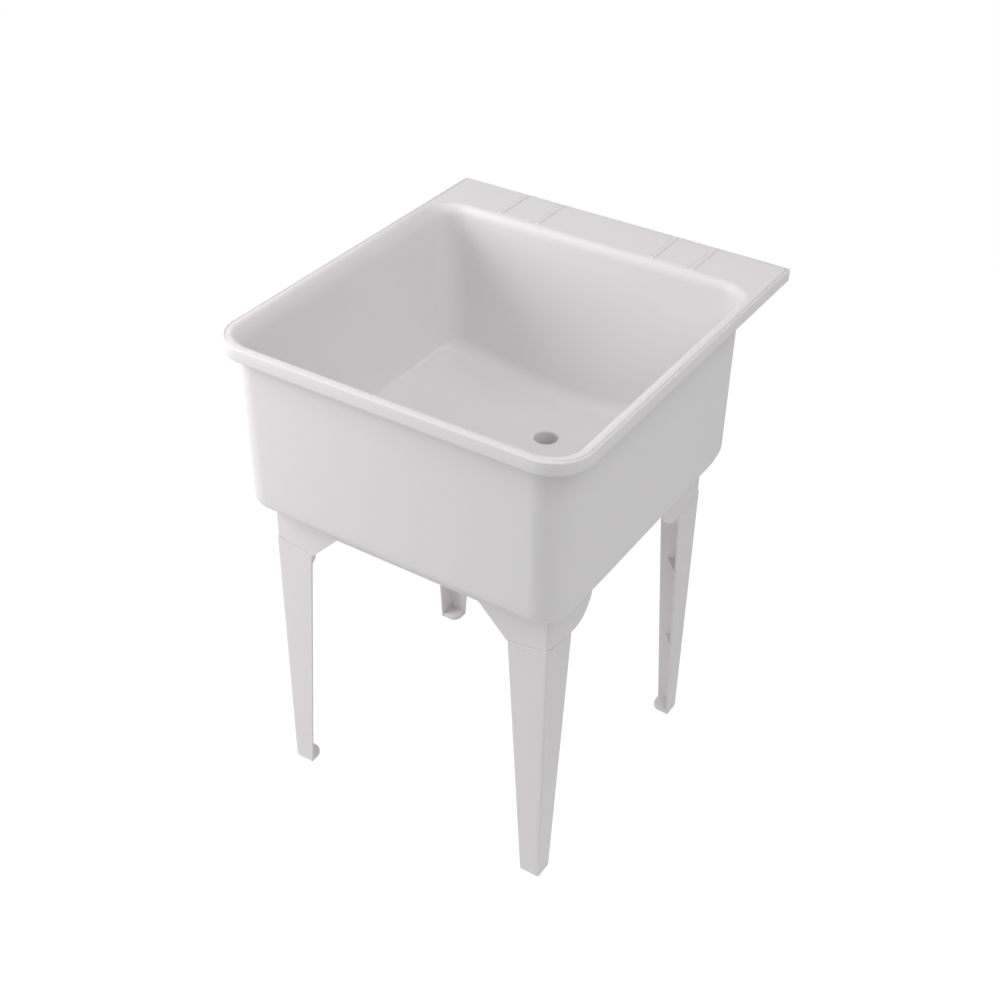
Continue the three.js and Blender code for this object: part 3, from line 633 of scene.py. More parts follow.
# %% Rim rings
DECK_NEAR = BASIN.back + ROLL[2] + BAR_SETBACK
DECK_FAR = RAISED_TOP.back - CHANNEL_SOFT - BAR_SETBACK / 2
BORDER_NEAR = DECK_NEAR + BAR_SETBACK
NOTCH_FAR = DECK_NEAR + 3 * BORDER
LIP_SOFT = 1.0


def deck_rings(skin):
    """Rings across the flat of the rim, which on the deck are the edges of the borders and bars."""
    crest = skin.ring(BASIN, -ROLL, RIM_Z)
    outer = skin.ring(RAISED_TOP, CHANNEL_SOFT, RIM_Z)
    start = BASIN.back + ROLL[2]
    end = RAISED_TOP.back - CHANNEL_SOFT
    lines = [DECK_NEAR, BORDER_NEAR, BORDER_NEAR + BORDER, NOTCH_FAR, DECK_FAR]
    return loft(crest, outer, [(line - start) / (end - start) for line in lines])


def lip_rings(skin):
    """The channel round the top, the lip's edge, its face and its inside."""
    rings = []
    for down, reach in quarter(3):
        rings.append(skin.ring(RAISED_TOP, CHANNEL_SOFT * reach, below_rim(CHANNEL_ROUND * down)))
    for inset, depth in (
        (0, CHANNEL_DEPTH),
        (-CHANNEL_WIDTH, CHANNEL_DEPTH),
        (-CHANNEL_WIDTH, CHANNEL_TOP),
        (-CHANNEL_OUTSIDE, EDGE_DROP),
    ):
        rings.append(skin.ring(RAISED_TOP, inset, below_rim(depth)))
    for fall, reach in quarter(5):
        rings.append(skin.ring(LIP, LIP_EDGE * reach, below_rim(EDGE_DROP + LIP_EDGE_DEPTH * fall)))
    rings.append(skin.ring(LIP, 0, below_rim(LIP_DROP, 3 * LIP_SOFT)))
    for reach, down in quarter(4):
        rings.append(skin.ring(LIP, LIP_SOFT * reach, below_rim(LIP_DROP, LIP_SOFT * down)))
    for inset, height in (
        (-LIP_SOFT, below_rim(LIP_DROP)),
        (0, below_rim(LIP_DROP, LIP_SOFT)),
        (0, RIM_UNDERSIDE - LIP_SOFT),
        (LIP_SOFT, RIM_UNDERSIDE),
    ):
        rings.append(skin.ring(LIP_INSIDE, inset, height))
    return rings


# %% [markdown]
# ## Outside and underneath
#
# Below the lip the body flares up into the rim. Its walls lean in on their way down and turn under in
# a generous round. Towards the back the underside climbs, to leave room for the drain pipe, but it
# can't climb above the bottom of the basin, so there the bowl bulges out below it.
#
# The skirt hangs from that underside. Its lower edge drops at each corner to a collar, and a wing
# runs from each collar back up to the straight edge: straight at the front, hollow at the sides.


# %% Underside
def rear_cut(point):
    return BODY_BOTTOM + max(0.0, point.y - REAR_CUT_Y) * REAR_CUT_SLOPE


def bowl_underside(point, station):
    """Height of the outside of the basin's floor over a point, and infinity beyond the basin."""
    foot = wall_foot(station)
    outwards = (point.x - foot.x) * station.nx + (point.y - foot.y) * station.ny
    if outwards <= 0:
        return floor_height(point.x, point.y) - FLOOR_WALL
    radius = around(FILLET, station) + WALL
    if outwards >= radius:
        return math.inf
    rise = radius - math.sqrt(radius**2 - outwards**2)
    return floor_height(*foot) - FLOOR_WALL + rise


def capped(skin, places, height=lambda point: math.inf):
    """Sets a ring to height(point), or to the bowl where that is lower."""
    return [
        Vector((p.x, p.y, min(height(p), bowl_underside(p, station))))
        for p, station in zip(places, skin.stations)
    ]


WALL_TOP = RIM_UNDERSIDE - THROAT_HEIGHT
EDGE_TOP = BODY_BOTTOM + BODY_EDGE


def body_inset(station, z):
    """How far the leaning outside wall stands in at a height."""
    return around(BODY_DRAFT, station) * (WALL_TOP - z) / (WALL_TOP - EDGE_TOP)


def wall_end(station):
    """Where a wall ends: at the round lower edge, or above it where the rear cut takes that away."""
    return max(EDGE_TOP, rear_cut(place_on(BODY, station, BODY_DRAFT)))


def edge_inset(station, reach):
    """How far the lower edge has turned in, from the wall's end to the flat underside."""
    start = body_inset(station, wall_end(station))
    return start + (around(BODY_DRAFT, station) + BODY_EDGE - start) * reach


def body_rings(skin, steps=10):
    """The flare under the rim, the leaning wall and its round lower edge."""
    rings = [
        skin.ring(BODY, -THROAT - THROAT_SOFT, RIM_UNDERSIDE),
        skin.ring(BODY, -THROAT, RIM_UNDERSIDE - THROAT_SOFT),
        skin.ring(BODY, 0, WALL_TOP),
    ]
    low = skin.ring(BODY, lambda s: edge_inset(s, 0), lambda p, s: wall_end(s))
    rings += loft(rings[-1], low, shares(steps))
    for reach, down in quarter(steps, 1):
        ring = skin.ring(BODY, lambda s, r=reach: edge_inset(s, r))
        edge = BODY_BOTTOM + BODY_EDGE * down
        rings.append(capped(skin, ring, lambda p, edge=edge: max(edge, rear_cut(p))))
    return rings


# %% Skirt
def curve(start, bend, end, t):
    """A quadratic curve from start to end that is drawn towards bend."""
    return (1 - t) ** 2 * start + 2 * t * (1 - t) * bend + t**2 * end


def collar_edge(t):
    """Height of a collar's lower edge, from its end (t = 0) to the sink's corner (t = 1)."""
    return curve(COLLAR_END_Z, COLLAR_END_Z + COLLAR_BOW, COLLAR_CORNER_Z, t)


def wing_height(a, end, foot):
    """Height of a side wing at distance a from the middle, on its quadratic curve."""
    bend = foot + (end - foot) * WING_BEND_SHARE
    square, linear, rest = end - 2 * bend + foot, 2 * (bend - end), end - a
    t = (-linear - math.sqrt(max(0.0, linear**2 - 4 * square * rest))) / (2 * square)
    return curve(COLLAR_END_Z, COLLAR_END_Z - WING_SAG, SKIRT_BOTTOM, t)


def skirt_edge(point, station):
    """Height of the skirt's lower edge."""
    across = abs(station.ny) >= abs(station.nx)
    half, width = (SKIRT.half, COLLAR_FRONT_WIDTH) if across else (SKIRT_HALF_DEPTH, COLLAR_SIDE_WIDTH)
    a = abs(point.x) if across else abs(point.y - SKIRT_MIDDLE)
    end = half - width
    foot = half - (WING_FRONT_WIDTH if across else WING_SIDE_WIDTH)
    if a >= end:
        return collar_edge(min(1.0, (a - end) / width))
    if a <= foot:
        return SKIRT_BOTTOM
    if across:
        return SKIRT_BOTTOM + (COLLAR_END_Z - SKIRT_BOTTOM) * (a - foot) / (end - foot)
    return wing_height(a, end, foot)


def skirt_rings(skin):
    """The skirt's root on the underside, its wall, its soft lower edge and its inside."""

    def above_edge(rise):
        return lambda point, station: skirt_edge(point, station) + SKIRT_SOFT * rise

    edge = skin.ring(BODY, lambda station: edge_inset(station, 1))
    root = skin.ring(SKIRT, -SKIRT_ROOT)
    rings = [capped(skin, places, rear_cut) for places in loft(edge, root, (0.1, 0.5, 1))]
    for share, inset in SKIRT_ROOT_CURVE:
        ring = capped(skin, skin.ring(SKIRT, inset), rear_cut)
        rings.append([Vector((p.x, p.y, p.z - SKIRT_ROOT * share)) for p in ring])
    rings += loft(rings[-1], skin.ring(SKIRT, 0, above_edge(1)), (0.5, 0.95, 1))
    for reach, rise in quarter(3, 1):
        rings.append(skin.ring(SKIRT, SKIRT_SOFT * reach, above_edge(rise)))
    for reach, rise in reversed(quarter(3)):
        rings.append(skin.ring(SKIRT_INSIDE, -SKIRT_SOFT * reach, above_edge(rise)))
    return rings + loft(rings[-1], capped(skin, skin.ring(SKIRT_INSIDE)), (0.08, 0.5, 1))


def bowl_rings(skin, steps=12):
    """The underside of the floor, then the spigot down to where the drain's bore starts."""
    root = drain_ring(skin, SPIGOT_OUTER + SPIGOT_ROOT, 0)
    rings = [capped(skin, places) for places in loft(skin.ring(SKIRT_INSIDE), root, shares(steps))]
    under = DRAIN.z - FLOOR_WALL
    for out, down in quarter(5, 1):
        radius = SPIGOT_OUTER + SPIGOT_ROOT * down
        rings.append(drain_ring(skin, radius, under - SPIGOT_ROOT * out))
    for turn in range(SPIGOT_THREADS):
        top = under - SPIGOT_ROOT - THREAD_START - turn * SPIGOT_PITCH
        for out, down in SPIGOT_RIDGE:
            radius = SPIGOT_OUTER + SPIGOT_THREAD * out
            rings.append(drain_ring(skin, radius, top - down * SPIGOT_PITCH))
    rings.append(drain_ring(skin, SPIGOT_OUTER, SPIGOT_BOTTOM + SPIGOT_THREAD))
    rings.append(drain_ring(skin, SPIGOT_OUTER - SPIGOT_THREAD, SPIGOT_BOTTOM))
    return rings


# %% [markdown]
# ## Finishing a mesh, and joining two
#
# Each piece is shaped in millimetres and handed over in metres. Before that its doubles are merged
# and its faces turned outwards, and edges sharper than a set angle are marked, so that flat and round
# parts shade as they should.
#
# Ribs and gussets are moulded in one with the wall that they stiffen. A boolean union makes them one
# solid here too. It runs on small temporary objects, and the result goes back into a bmesh.

# %% Finish and join
SHARP = math.radians(38)
DOUBLE = 1e-4


def cleaned(bm):
    bmesh.ops.remove_doubles(bm, verts=bm.verts, dist=DOUBLE)
    bmesh.ops.recalc_face_normals(bm, faces=bm.faces)
    return bm


def temporary(name, bm):
    mesh = bpy.data.meshes.new(name)
    bm.to_mesh(mesh)
    bm.free()
    piece = bpy.data.objects.new(name, mesh)
    bpy.context.scene.collection.objects.link(piece)
    return piece


def combined(bm, tools, operation="UNION"):
    """A bmesh joined with, or cut by, others, which are used up."""
    whole = temporary("whole", cleaned(bm))
    parts = [temporary("tool", cleaned(tool)) for tool in tools]
    for part in parts:
        step = whole.modifiers.new("join", "BOOLEAN")
        step.operation = operation
        step.solver = "EXACT"
        step.object = part
    graph = bpy.context.evaluated_depsgraph_get()
    result = bmesh.new()
    result.from_object(whole, graph)
    for spare in [whole] + parts:
        bpy.data.objects.remove(spare)
    return result


def dress(node, name, bm, material):
    """Puts a bmesh, in metres and shaded smooth, in the place of a solid. The one body is the root."""
    cleaned(bm)
    bmesh.ops.scale(bm, verts=bm.verts, vec=(MM, MM, MM))
    open_edges = [edge for edge in bm.edges if not edge.is_manifold]
    print(f"{name}: {len(bm.faces)} faces, {len(open_edges)} open edges")
    piece = temporary(name, bm)
    piece.data.shade_smooth()
    piece.data.set_sharp_from_angle(angle=SHARP)
    piece.data.materials.append(material)
    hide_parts(node)
    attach(piece, "root")


def block(low, high, soft=0.0):
    """A box between two corners, with its edges rounded by soft."""
    bm = bmesh.new()
    bmesh.ops.create_cube(bm, size=1)
    bmesh.ops.scale(bm, verts=bm.verts, vec=Vector(high) - Vector(low))
    bmesh.ops.translate(bm, verts=bm.verts, vec=(Vector(high) + Vector(low)) / 2)
    if soft:
        rounded(bm, bm.edges[:], soft, 2, "EDGES")
    return bm


print("edges sharper than", round(math.degrees(SHARP)), "degrees stay sharp")

# %% [markdown]
# ## Bars and borders on the deck
#
# Four low bars run from the basin to the back of the deck. Each lies between two hairline grooves.
# Between the bars of each pair a thin border closes the square at the front, up to a small notch. The
# faces are already there, cut to size, so each bar is an inset that rises and each groove one that
# sinks.


# %% Deck bars
UPWARDS = 0.9


def deck_faces(bm, x0, x1, y0, y1):
    """Flat faces of the deck whose middles lie in a rectangle."""
    found = []
    for face in bm.faces:
        middle = face.calc_center_median()
        level = abs(middle.z - RIM_Z) < SLACK and face.normal.z > UPWARDS
        if level and x0 < middle.x < x1 and y0 < middle.y < y1:
            found.append(face)
    return found


def raise_faces(bm, faces, flank, height):
    bmesh.ops.inset_region(
        bm, faces=faces, thickness=flank, depth=height, use_even_offset=True, use_boundary=True
    )


def add_bars(bm):
    for x in both_sides(BAR_CENTRES):
        left, right = x - BAR_WIDTH / 2, x + BAR_WIDTH / 2
        for start in (left - GROOVE, right):
            faces = deck_faces(bm, start, start + GROOVE, DECK_NEAR, DECK_FAR)
            raise_faces(bm, faces, GROOVE_FLANK, -GROOVE_DEPTH)
        raise_faces(bm, deck_faces(bm, left, right, DECK_NEAR, DECK_FAR), BAR_FLANK, BAR_HEIGHT)


def add_borders(bm):
    inner, outer = BAR_CENTRES
    reach = BAR_WIDTH / 2 + GROOVE
    for start, gap in ((-outer + reach, BORDER_GAPS[0]), (inner + reach, BORDER_GAPS[1])):
        faces = deck_faces(bm, start, gap - NOTCH / 2, BORDER_NEAR, BORDER_NEAR + BORDER)
        raise_faces(bm, faces, BORDER_HEIGHT, BORDER_HEIGHT)
        faces = deck_faces(bm, gap - NOTCH / 2, gap + NOTCH / 2, BORDER_NEAR, NOTCH_FAR)
        raise_faces(bm, faces, NOTCH / 4, -NOTCH / 2)


print("bars at", BAR_CENTRES, "mm to each side of the middle")

# %% [markdown]
# ## Ribs under the deck, and the whole tub
#
# The deck is a thin plate, so ribs stiffen it from below. They run from the basin's back wall to the
# lip, and one more runs across them. They are sunk into the walls that they meet, so that the union
# has no faces lying on each other.

# %% Build the tub
RIB_SINK = 0.8


def deck_ribs():
    low, high = RIM_UNDERSIDE - DECK_RIB_HEIGHT, RIM_UNDERSIDE + RIB_SINK
    front, back = BODY.back - RIB_SINK, LIP_INSIDE.back + RIB_SINK
    half = DECK_RIB_WALL / 2
    places = both_sides([DECK_RIB_PITCH * (step + 0.5) for step in range(4)])
    ribs = [block((x - half, front, low), (x + half, back, high)) for x in places]
    middle = (BODY.back + LIP_INSIDE.back) / 2
    reach = LIP_INSIDE.half + RIB_SINK
    ribs.append(block((-reach, middle - half, low + half), (reach, middle + half, high - half / 2)))
    return ribs


def make_tub():
    skin = Skin(BASIN, CUTS_X, CUTS_Y)
    for rings in (basin_rings, deck_rings, lip_rings, body_rings, skirt_rings, bowl_rings):
        skin.grow(rings(skin))
    skin.grow([drain_ring(skin, DRAIN_BORE, SPIGOT_BOTTOM)])
    bm = cleaned(skin.bm)
    add_bars(bm)
    add_borders(bm)
    print("tub rings:", skin.rings, "stations:", len(skin.stations))
    return combined(bm, deck_ribs())


dress("tub", "moulded_tub", make_tub(), tub_plastic)

# %% [markdown]
# ## The legs
#
# A leg is one wall, folded into an angle. At the foot it is a strip 35 mm wide, and it widens all the
# way up. At the top the wall thickens inwards to a shoulder, which carries the tub's collar, and a
# thinner tongue runs on upwards inside the collar.
#
# So the section of that wall is drawn once, as a ladder of quads standing upright, and swept along the
# plan of the leg: extruded from station to station along one flange, round the corner and along the
# other. The tongue is narrower than the shoulder. The sweep therefore starts and ends where the tongue
# does, and then only the lower part of the ladder is extruded on to the flanges' edges.

# %% Leg sizes
LEG_LOW, LEG_HIGH = (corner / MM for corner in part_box("leg_front_left"))
LEG_WALL = 3.5
LEG_CORNER = 3.0
LEG_INSIDE_CORNER = 1.5
LEG_CORNER_STEPS = 6
LEG_SHARES = (0.7, 0.5, 0.35, 0.2)
LEG_TOP = (69.4, 69.2)
LEG_FOOT = (35.0, 32.5)
LEG_SOFT = 0.5
LEG_PROUD = -LEG_LOW.x - SKIRT.half
SEAT_GAP = 0.3
SHOULDER_BOTTOM = COLLAR_END_Z - 18.0
TONGUE_OFFSET = LEG_PROUD + SKIRT_WALL + SEAT_GAP
TONGUE_INSIDE = TONGUE_OFFSET + LEG_WALL
TONGUE_WIDTH = 60.0
TONGUE_SHARE = TONGUE_WIDTH / LEG_TOP[0]
TONGUE_TAPER = 7.0
GUSSET_HEIGHTS = (160.0, 330.0)
GUSSET_WALL = 3.0
GUSSET_SHARE = 0.8
PAD_HEIGHT = 8.0
PAD_ROUND = 16.0
PAD_SOFT = 1.0
PAD_STEPS = 12

Turn = namedtuple("Turn", "angle flange share")
Row = namedtuple("Row", "outer inner height follows")


def leg_width(flange, z):
    share = min(z, COLLAR_END_Z) / COLLAR_END_Z
    return LEG_FOOT[flange] + (LEG_TOP[flange] - LEG_FOOT[flange]) * share


def leg_place(offset, z, turn):
    """Where a point of the section is in plan, from the leg's outer corner."""
    if turn.share is None:
        radius = max(LEG_CORNER - offset, LEG_INSIDE_CORNER)
        centre = offset + radius
        return centre - radius * math.sin(turn.angle), centre - radius * math.cos(turn.angle)
    along = leg_width(turn.flange, z) * turn.share
    if z > LEG_HIGH.z - TONGUE_TAPER / 2:
        along *= 1 - LEG_WALL / TONGUE_WIDTH
    return (along, offset) if turn.flange == 0 else (offset, along)


def shoulder_height(x, y):
    """Height of the shoulder, which follows the lower edge of the collar that sits on it."""
    along = max(x, y)
    width = COLLAR_FRONT_WIDTH + LEG_PROUD
    return collar_edge(max(0.0, 1 - along / width)) - SEAT_GAP


print("leg", round(LEG_HIGH.z), "mm high, with a wall of", LEG_WALL)

# %% Leg section and sweep
LEG_ROWS = [
    Row(LEG_SOFT, LEG_WALL - LEG_SOFT, 0.0, False),
    Row(0.0, LEG_WALL, LEG_SOFT, False),
    Row(0.0, LEG_WALL, SHOULDER_BOTTOM, False),
    Row(0.0, TONGUE_INSIDE, SHOULDER_BOTTOM + TONGUE_INSIDE - LEG_WALL, False),
    Row(0.0, TONGUE_INSIDE, -LEG_SOFT, True),
    Row(LEG_SOFT, TONGUE_INSIDE, 0.0, True),
    Row(TONGUE_OFFSET, TONGUE_INSIDE, LEG_SOFT, True),
    Row(TONGUE_OFFSET, TONGUE_INSIDE, LEG_HIGH.z - TONGUE_TAPER, False),
    Row(TONGUE_OFFSET, TONGUE_INSIDE, LEG_HIGH.z - LEG_SOFT, False),
    Row(TONGUE_OFFSET + LEG_SOFT, TONGUE_INSIDE - LEG_SOFT, LEG_HIGH.z, False),
]
SHOULDER_ROWS = 6


def section_point(number, turn, slim):
    """A point of the section at a turn of the leg; slim draws both faces in, for a rounded edge."""
    row = LEG_ROWS[number // 2]
    offset = row.inner - slim if number % 2 else row.outer + slim
    z = COLLAR_END_Z if row.follows else row.height
    x, y = leg_place(offset, z, turn)
    if row.follows:
        z = shoulder_height(x, y) + row.height
    return Vector((x, y, z))


def leg_ladder(turn):
    bm = bmesh.new()
    layer = bm.verts.layers.int.new("row")
    verts = [bm.verts.new(section_point(number, turn, 0)) for number in range(2 * len(LEG_ROWS))]
    for number, vert in enumerate(verts):
        vert[layer] = number
    faces = []
    for row in range(len(LEG_ROWS) - 1):
        low = 2 * row
        faces.append(bm.faces.new([verts[low], verts[low + 1], verts[low + 3], verts[low + 2]]))
    return bm, layer, faces


def sweep(bm, layer, faces, turns, slim=0.0):
    """Extrudes the section from turn to turn, and returns its last copy. The one before it goes."""
    for turn in turns:
        made = bmesh.ops.extrude_face_region(bm, geom=faces, use_keep_orig=True)["geom"]
        bmesh.ops.delete(bm, geom=faces, context="FACES")
        faces = only(bmesh.types.BMFace, made)
        for vert in {vert for face in faces for vert in face.verts}:
            vert.co = section_point(vert[layer], turn, slim)
    return faces


def lower_part(layer, faces):
    """The faces of the section that belong to the post and its shoulder."""
    top = 2 * SHOULDER_ROWS + 1
    return [face for face in faces if max(vert[layer] for vert in face.verts) <= top]


def leg_wall():
    steps = range(LEG_CORNER_STEPS + 1)
    corner = [Turn(math.pi / 2 * step / LEG_CORNER_STEPS, 0, None) for step in steps]
    front = [Turn(0, 0, share) for share in LEG_SHARES]
    side = [Turn(0, 1, share) for share in reversed(LEG_SHARES)]
    bm, layer, start = leg_ladder(Turn(0, 0, TONGUE_SHARE))
    other = only(bmesh.types.BMFace, bmesh.ops.duplicate(bm, geom=start)["geom"])
    end = sweep(bm, layer, other, front + corner + side + [Turn(0, 1, TONGUE_SHARE)])
    for flange, faces in enumerate((start, end)):
        rim = Turn(0, flange, 1 - LEG_SOFT / LEG_TOP[flange])
        faces = sweep(bm, layer, lower_part(layer, faces), [rim])
        sweep(bm, layer, faces, [Turn(0, flange, 1.0)], LEG_SOFT)
    return bm


print("a leg's section has", len(LEG_ROWS), "rows")

# %% [markdown]
# ## Gussets, foot pads, and a leg in each corner
#
# Two small plates across the inside of the angle keep its flanges from folding together, and a thick
# pad at the foot spreads the weight. Both are flat outlines that are extruded upwards. The pad's free
# corner is rounded by a bevel of that one vertex, before the outline gets its height.
#
# One leg is made, at the front left. The others are mirrored copies, and a mirror turns a mesh inside
# out, so each copy has its faces turned outwards again.


# %% Legs
def thickened(bm, height):
    made = bmesh.ops.extrude_face_region(bm, geom=bm.faces[:])["geom"]
    bmesh.ops.translate(bm, verts=only(bmesh.types.BMVert, made), vec=(0, 0, height))
    return bm


def outline_face(points, z):
    bm = bmesh.new()
    bm.faces.new([bm.verts.new((x, y, z)) for x, y in points])
    return bm


def gusset(z):
    near = LEG_WALL / 2
    reach = [GUSSET_SHARE * leg_width(flange, z) for flange in (0, 1)]
    points = [(near, near), (reach[0], near), (near, reach[1])]
    return thickened(outline_face(points, z - GUSSET_WALL / 2), GUSSET_WALL)


def foot_pad():
    near = LEG_WALL / 2
    far_x, far_y = (foot - SEAT_GAP for foot in LEG_FOOT)
    bm = outline_face([(near, near), (far_x, near), (far_x, far_y), (near, far_y)], 0)
    free = [vert for vert in bm.verts if vert.co.x > near and vert.co.y > near]
    rounded(bm, free, PAD_ROUND, PAD_STEPS)
    thickened(bm, PAD_HEIGHT)
    level = [edge for edge in bm.edges if edge.verts[0].co.z == edge.verts[1].co.z]
    rounded(bm, level, PAD_SOFT, 2, "EDGES")
    return bm


def at_corner(bm, side, end):
    """A copy of a front left piece at the corner that side and end name, each 1 or -1."""
    copy = bm.copy()
    mirror = Matrix.Diagonal((side, end, 1, 1))
    place = Matrix.Translation((0, SKIRT_MIDDLE, 0)) @ mirror
    place = place @ Matrix.Translation((LEG_LOW.x, LEG_LOW.y - SKIRT_MIDDLE, 0))
    bmesh.ops.transform(copy, matrix=place, verts=copy.verts)
    return copy


leg_shape = combined(leg_wall(), [gusset(z) for z in GUSSET_HEIGHTS] + [foot_pad()])
for end_name, end in (("front", 1), ("back", -1)):
    for side_name, side in (("left", 1), ("right", -1)):
        corner_name = f"{end_name}_{side_name}"
        leg = at_corner(leg_shape, side, end)
        dress(f"leg_{corner_name}", f"moulded_leg_{corner_name}", leg, leg_plastic)

# %% [markdown]
# ## Steel and rubber
#
# The screws are zinc-plated steel: fully metallic, with a roughness that wanders a little where the
# plating is thinner. The washer is black rubber, which scatters nearly everything it reflects, so it
# gets a high roughness, a trace of bloom in its tone and a soft bump.


# %% Steel and rubber
WEAR_RANGE = 0.15
WEAR_BUMP = 0.2
WEAR_DEPTH = 0.0001


def small_part_finish(name, dark, light, rough, scale, **constants):
    """A material whose tone runs between two colours, with a roughness and a bump that follow it."""
    finish = Finish(name)
    tone = finish.noise(scale, detail=4.0)
    finish.set(
        Base_Color=finish.blend(tone, dark, light),
        Roughness=(tone - 0.5) * WEAR_RANGE + rough,
        Normal=finish.bump(finish.noise(scale * 6, detail=3.0), WEAR_BUMP, WEAR_DEPTH),
        **constants,
    )
    return finish.material


ZINC_DARK, ZINC_LIGHT = (0.52, 0.52, 0.53), (0.66, 0.66, 0.67)
RUBBER_DARK, RUBBER_LIGHT = (0.018, 0.018, 0.018), (0.034, 0.033, 0.032)
screw_steel = small_part_finish("zinc steel", ZINC_DARK, ZINC_LIGHT, rough=0.34, scale=420.0, Metallic=1.0)
washer_rubber = small_part_finish("black rubber", RUBBER_DARK, RUBBER_LIGHT, rough=0.82, scale=160.0)
print("steel and rubber made")

# %% [markdown]
# ## Screws
#
# Three pan-head screws hold each leg's tongue to the collar, driven from inside. A screw is turned: its
# outline is spun round its axis. The thread is a small triangle that is spun too, but moves along the
# axis as it turns, which draws a helix. The cross recess is cut out of the head.
#
# Where each screw goes and which way it points is read from its box in the frame: it is longest along
# its own axis, and its tip is the end that is farther from the middle of the sink.

# %% Turned shapes
TURN_STEPS = 48
SCREW_STEPS = 24
RIDGE_SHARE = 0.7


def spun(bm, geom, steps, turns=1, rise=0.0):
    """Spins what is in geom round z; with a rise for each step it climbs like a screw."""
    bmesh.ops.spin(
        bm,
        geom=geom,
        cent=(0, 0, 0),
        axis=(0, 0, 1),
        dvec=(0, 0, rise),
        angle=2 * math.pi * turns,
        steps=steps * turns,
        use_merge=not rise,
    )
    return cleaned(bm)


def turned(profile, soft=0.0, steps=TURN_STEPS):
    """Spins an outline of (radius, height) points round z. It closes on itself or on the axis."""
    bm = bmesh.new()
    verts = [bm.verts.new((radius, 0, height)) for radius, height in profile]
    pairs = list(zip(verts, verts[1:]))
    if profile[0][0] > 0:
        pairs.append((verts[-1], verts[0]))
    for first, second in pairs:
        bm.edges.new((first, second))
    if soft:
        rounded(bm, [vert for vert in verts if vert.co.x > 0], soft, 2)
    return spun(bm, bm.verts[:] + bm.edges[:], steps)


def helix(radius, depth, pitch, turns, low):
    """A thread's ridge, from low upwards, sunk by its own depth into what carries it."""
    bm = bmesh.new()
    root, width = radius - 2 * depth, RIDGE_SHARE * pitch
    points = [(root, low), (radius, low + width / 2), (root, low + width)]
    face = bm.faces.new([bm.verts.new((x, 0, z)) for x, z in points])
    geom = [face] + face.edges[:] + face.verts[:]
    return spun(bm, geom, SCREW_STEPS, turns, pitch / SCREW_STEPS)


print("turned shapes ready")

# %% Screws
SCREW_RADIUS = 2.0
SCREW_CORE = 1.6
SCREW_PITCH = 1.3
SCREW_THREADS = 4
THREAD_DEPTH = 0.32
HEAD_RADIUS = 4.5
HEAD_HEIGHT = 2.6
HEAD_RIM = 1.2
HEAD_SOFT = 0.2
HEAD_SHOULDER = (0.86, 0.72)
CROWN_SINK = 0.06
CROWN_RADIUS = 2.7
RECESS = 3.2
RECESS_ARM = 1.1
RECESS_DEPTH = 1.3
TURN_BETWEEN_SCREWS = math.radians(37)


def screw_shape(length):
    under_head = length - HEAD_HEIGHT
    across, up = HEAD_SHOULDER
    crown = [
        (HEAD_RADIUS, under_head + HEAD_RIM),
        (across * HEAD_RADIUS, under_head + up * HEAD_HEIGHT),
        (CROWN_RADIUS, length - CROWN_SINK * HEAD_HEIGHT),
        (0, length),
    ]
    shank = [(0, 0), (SCREW_CORE / 2, HEAD_SOFT), (SCREW_CORE, SCREW_RADIUS), (SCREW_CORE, under_head)]
    under = [(HEAD_RADIUS - HEAD_SOFT, under_head), (HEAD_RADIUS, under_head + HEAD_SOFT)]
    thread = helix(SCREW_RADIUS, THREAD_DEPTH, SCREW_PITCH, SCREW_THREADS, SCREW_RADIUS)
    bm = combined(turned(shank + under + crown, steps=SCREW_STEPS), [thread])
    deep, high = length - RECESS_DEPTH, length + 1
    slot, arm = RECESS / 2, RECESS_ARM / 2
    cross = [block((-slot, -arm, deep), (slot, arm, high)), block((-arm, -slot, deep), (arm, slot, high))]
    return combined(bm, cross, "DIFFERENCE")


def screw_place(name, length, turn):
    low, high = (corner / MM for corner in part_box(name))
    middle, size = (low + high) / 2, high - low
    if size.x > size.y:
        inwards = Vector((-math.copysign(1, middle.x), 0, 0))
    else:
        inwards = Vector((0, math.copysign(1, SKIRT_MIDDLE - middle.y), 0))
    facing = Vector((0, 0, 1)).rotation_difference(inwards).to_matrix().to_4x4()
    rolled = Matrix.Rotation(turn, 4, "Z") @ Matrix.Translation((0, 0, -length / 2))
    return Matrix.Translation(middle) @ facing @ rolled


screw_names = sorted(name for name in frame["nodes"] if name.startswith("screw_"))
screw_length = max(high - low for low, high in zip(*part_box(screw_names[0]))) / MM
screw = screw_shape(screw_length)
for number, name in enumerate(screw_names):
    copy = screw.copy()
    place = screw_place(name, screw_length, number * TURN_BETWEEN_SCREWS)
    bmesh.ops.transform(copy, matrix=place, verts=copy.verts)
    dress(name, name.replace("screw", "pan_head_screw"), copy, screw_steel)

# %% [markdown]
# ## The drain
#
# Under the tub the spigot ends in a thread. A winged nut pulls the flange of a short tube against it,
# with a rubber washer between them. All three are turned. The nut's wings are small rounded blocks,
# joined to it by a union, so that a hand can turn it without a tool.


# %% Drain pieces
def node_size(name):
    low, high = (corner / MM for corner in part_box(name))
    return low, high, (high.x - low.x) / 2


def at_drain(bm):
    bmesh.ops.translate(bm, verts=bm.verts, vec=(DRAIN.x, DRAIN.y, 0))
    return bm


TUBE_RADIUS = 19.0
TUBE_BORE = 17.0
FLANGE_HEIGHT = 3.0
FITTING_SOFT = 0.5
WASHER_SOFT = 0.6


def ring_profile(inner, low, high, *steps):
    """A turned ring's outline: its bore from high to low, and the steps of its outside."""
    return [(inner, low.z), *steps, (inner, high.z)]


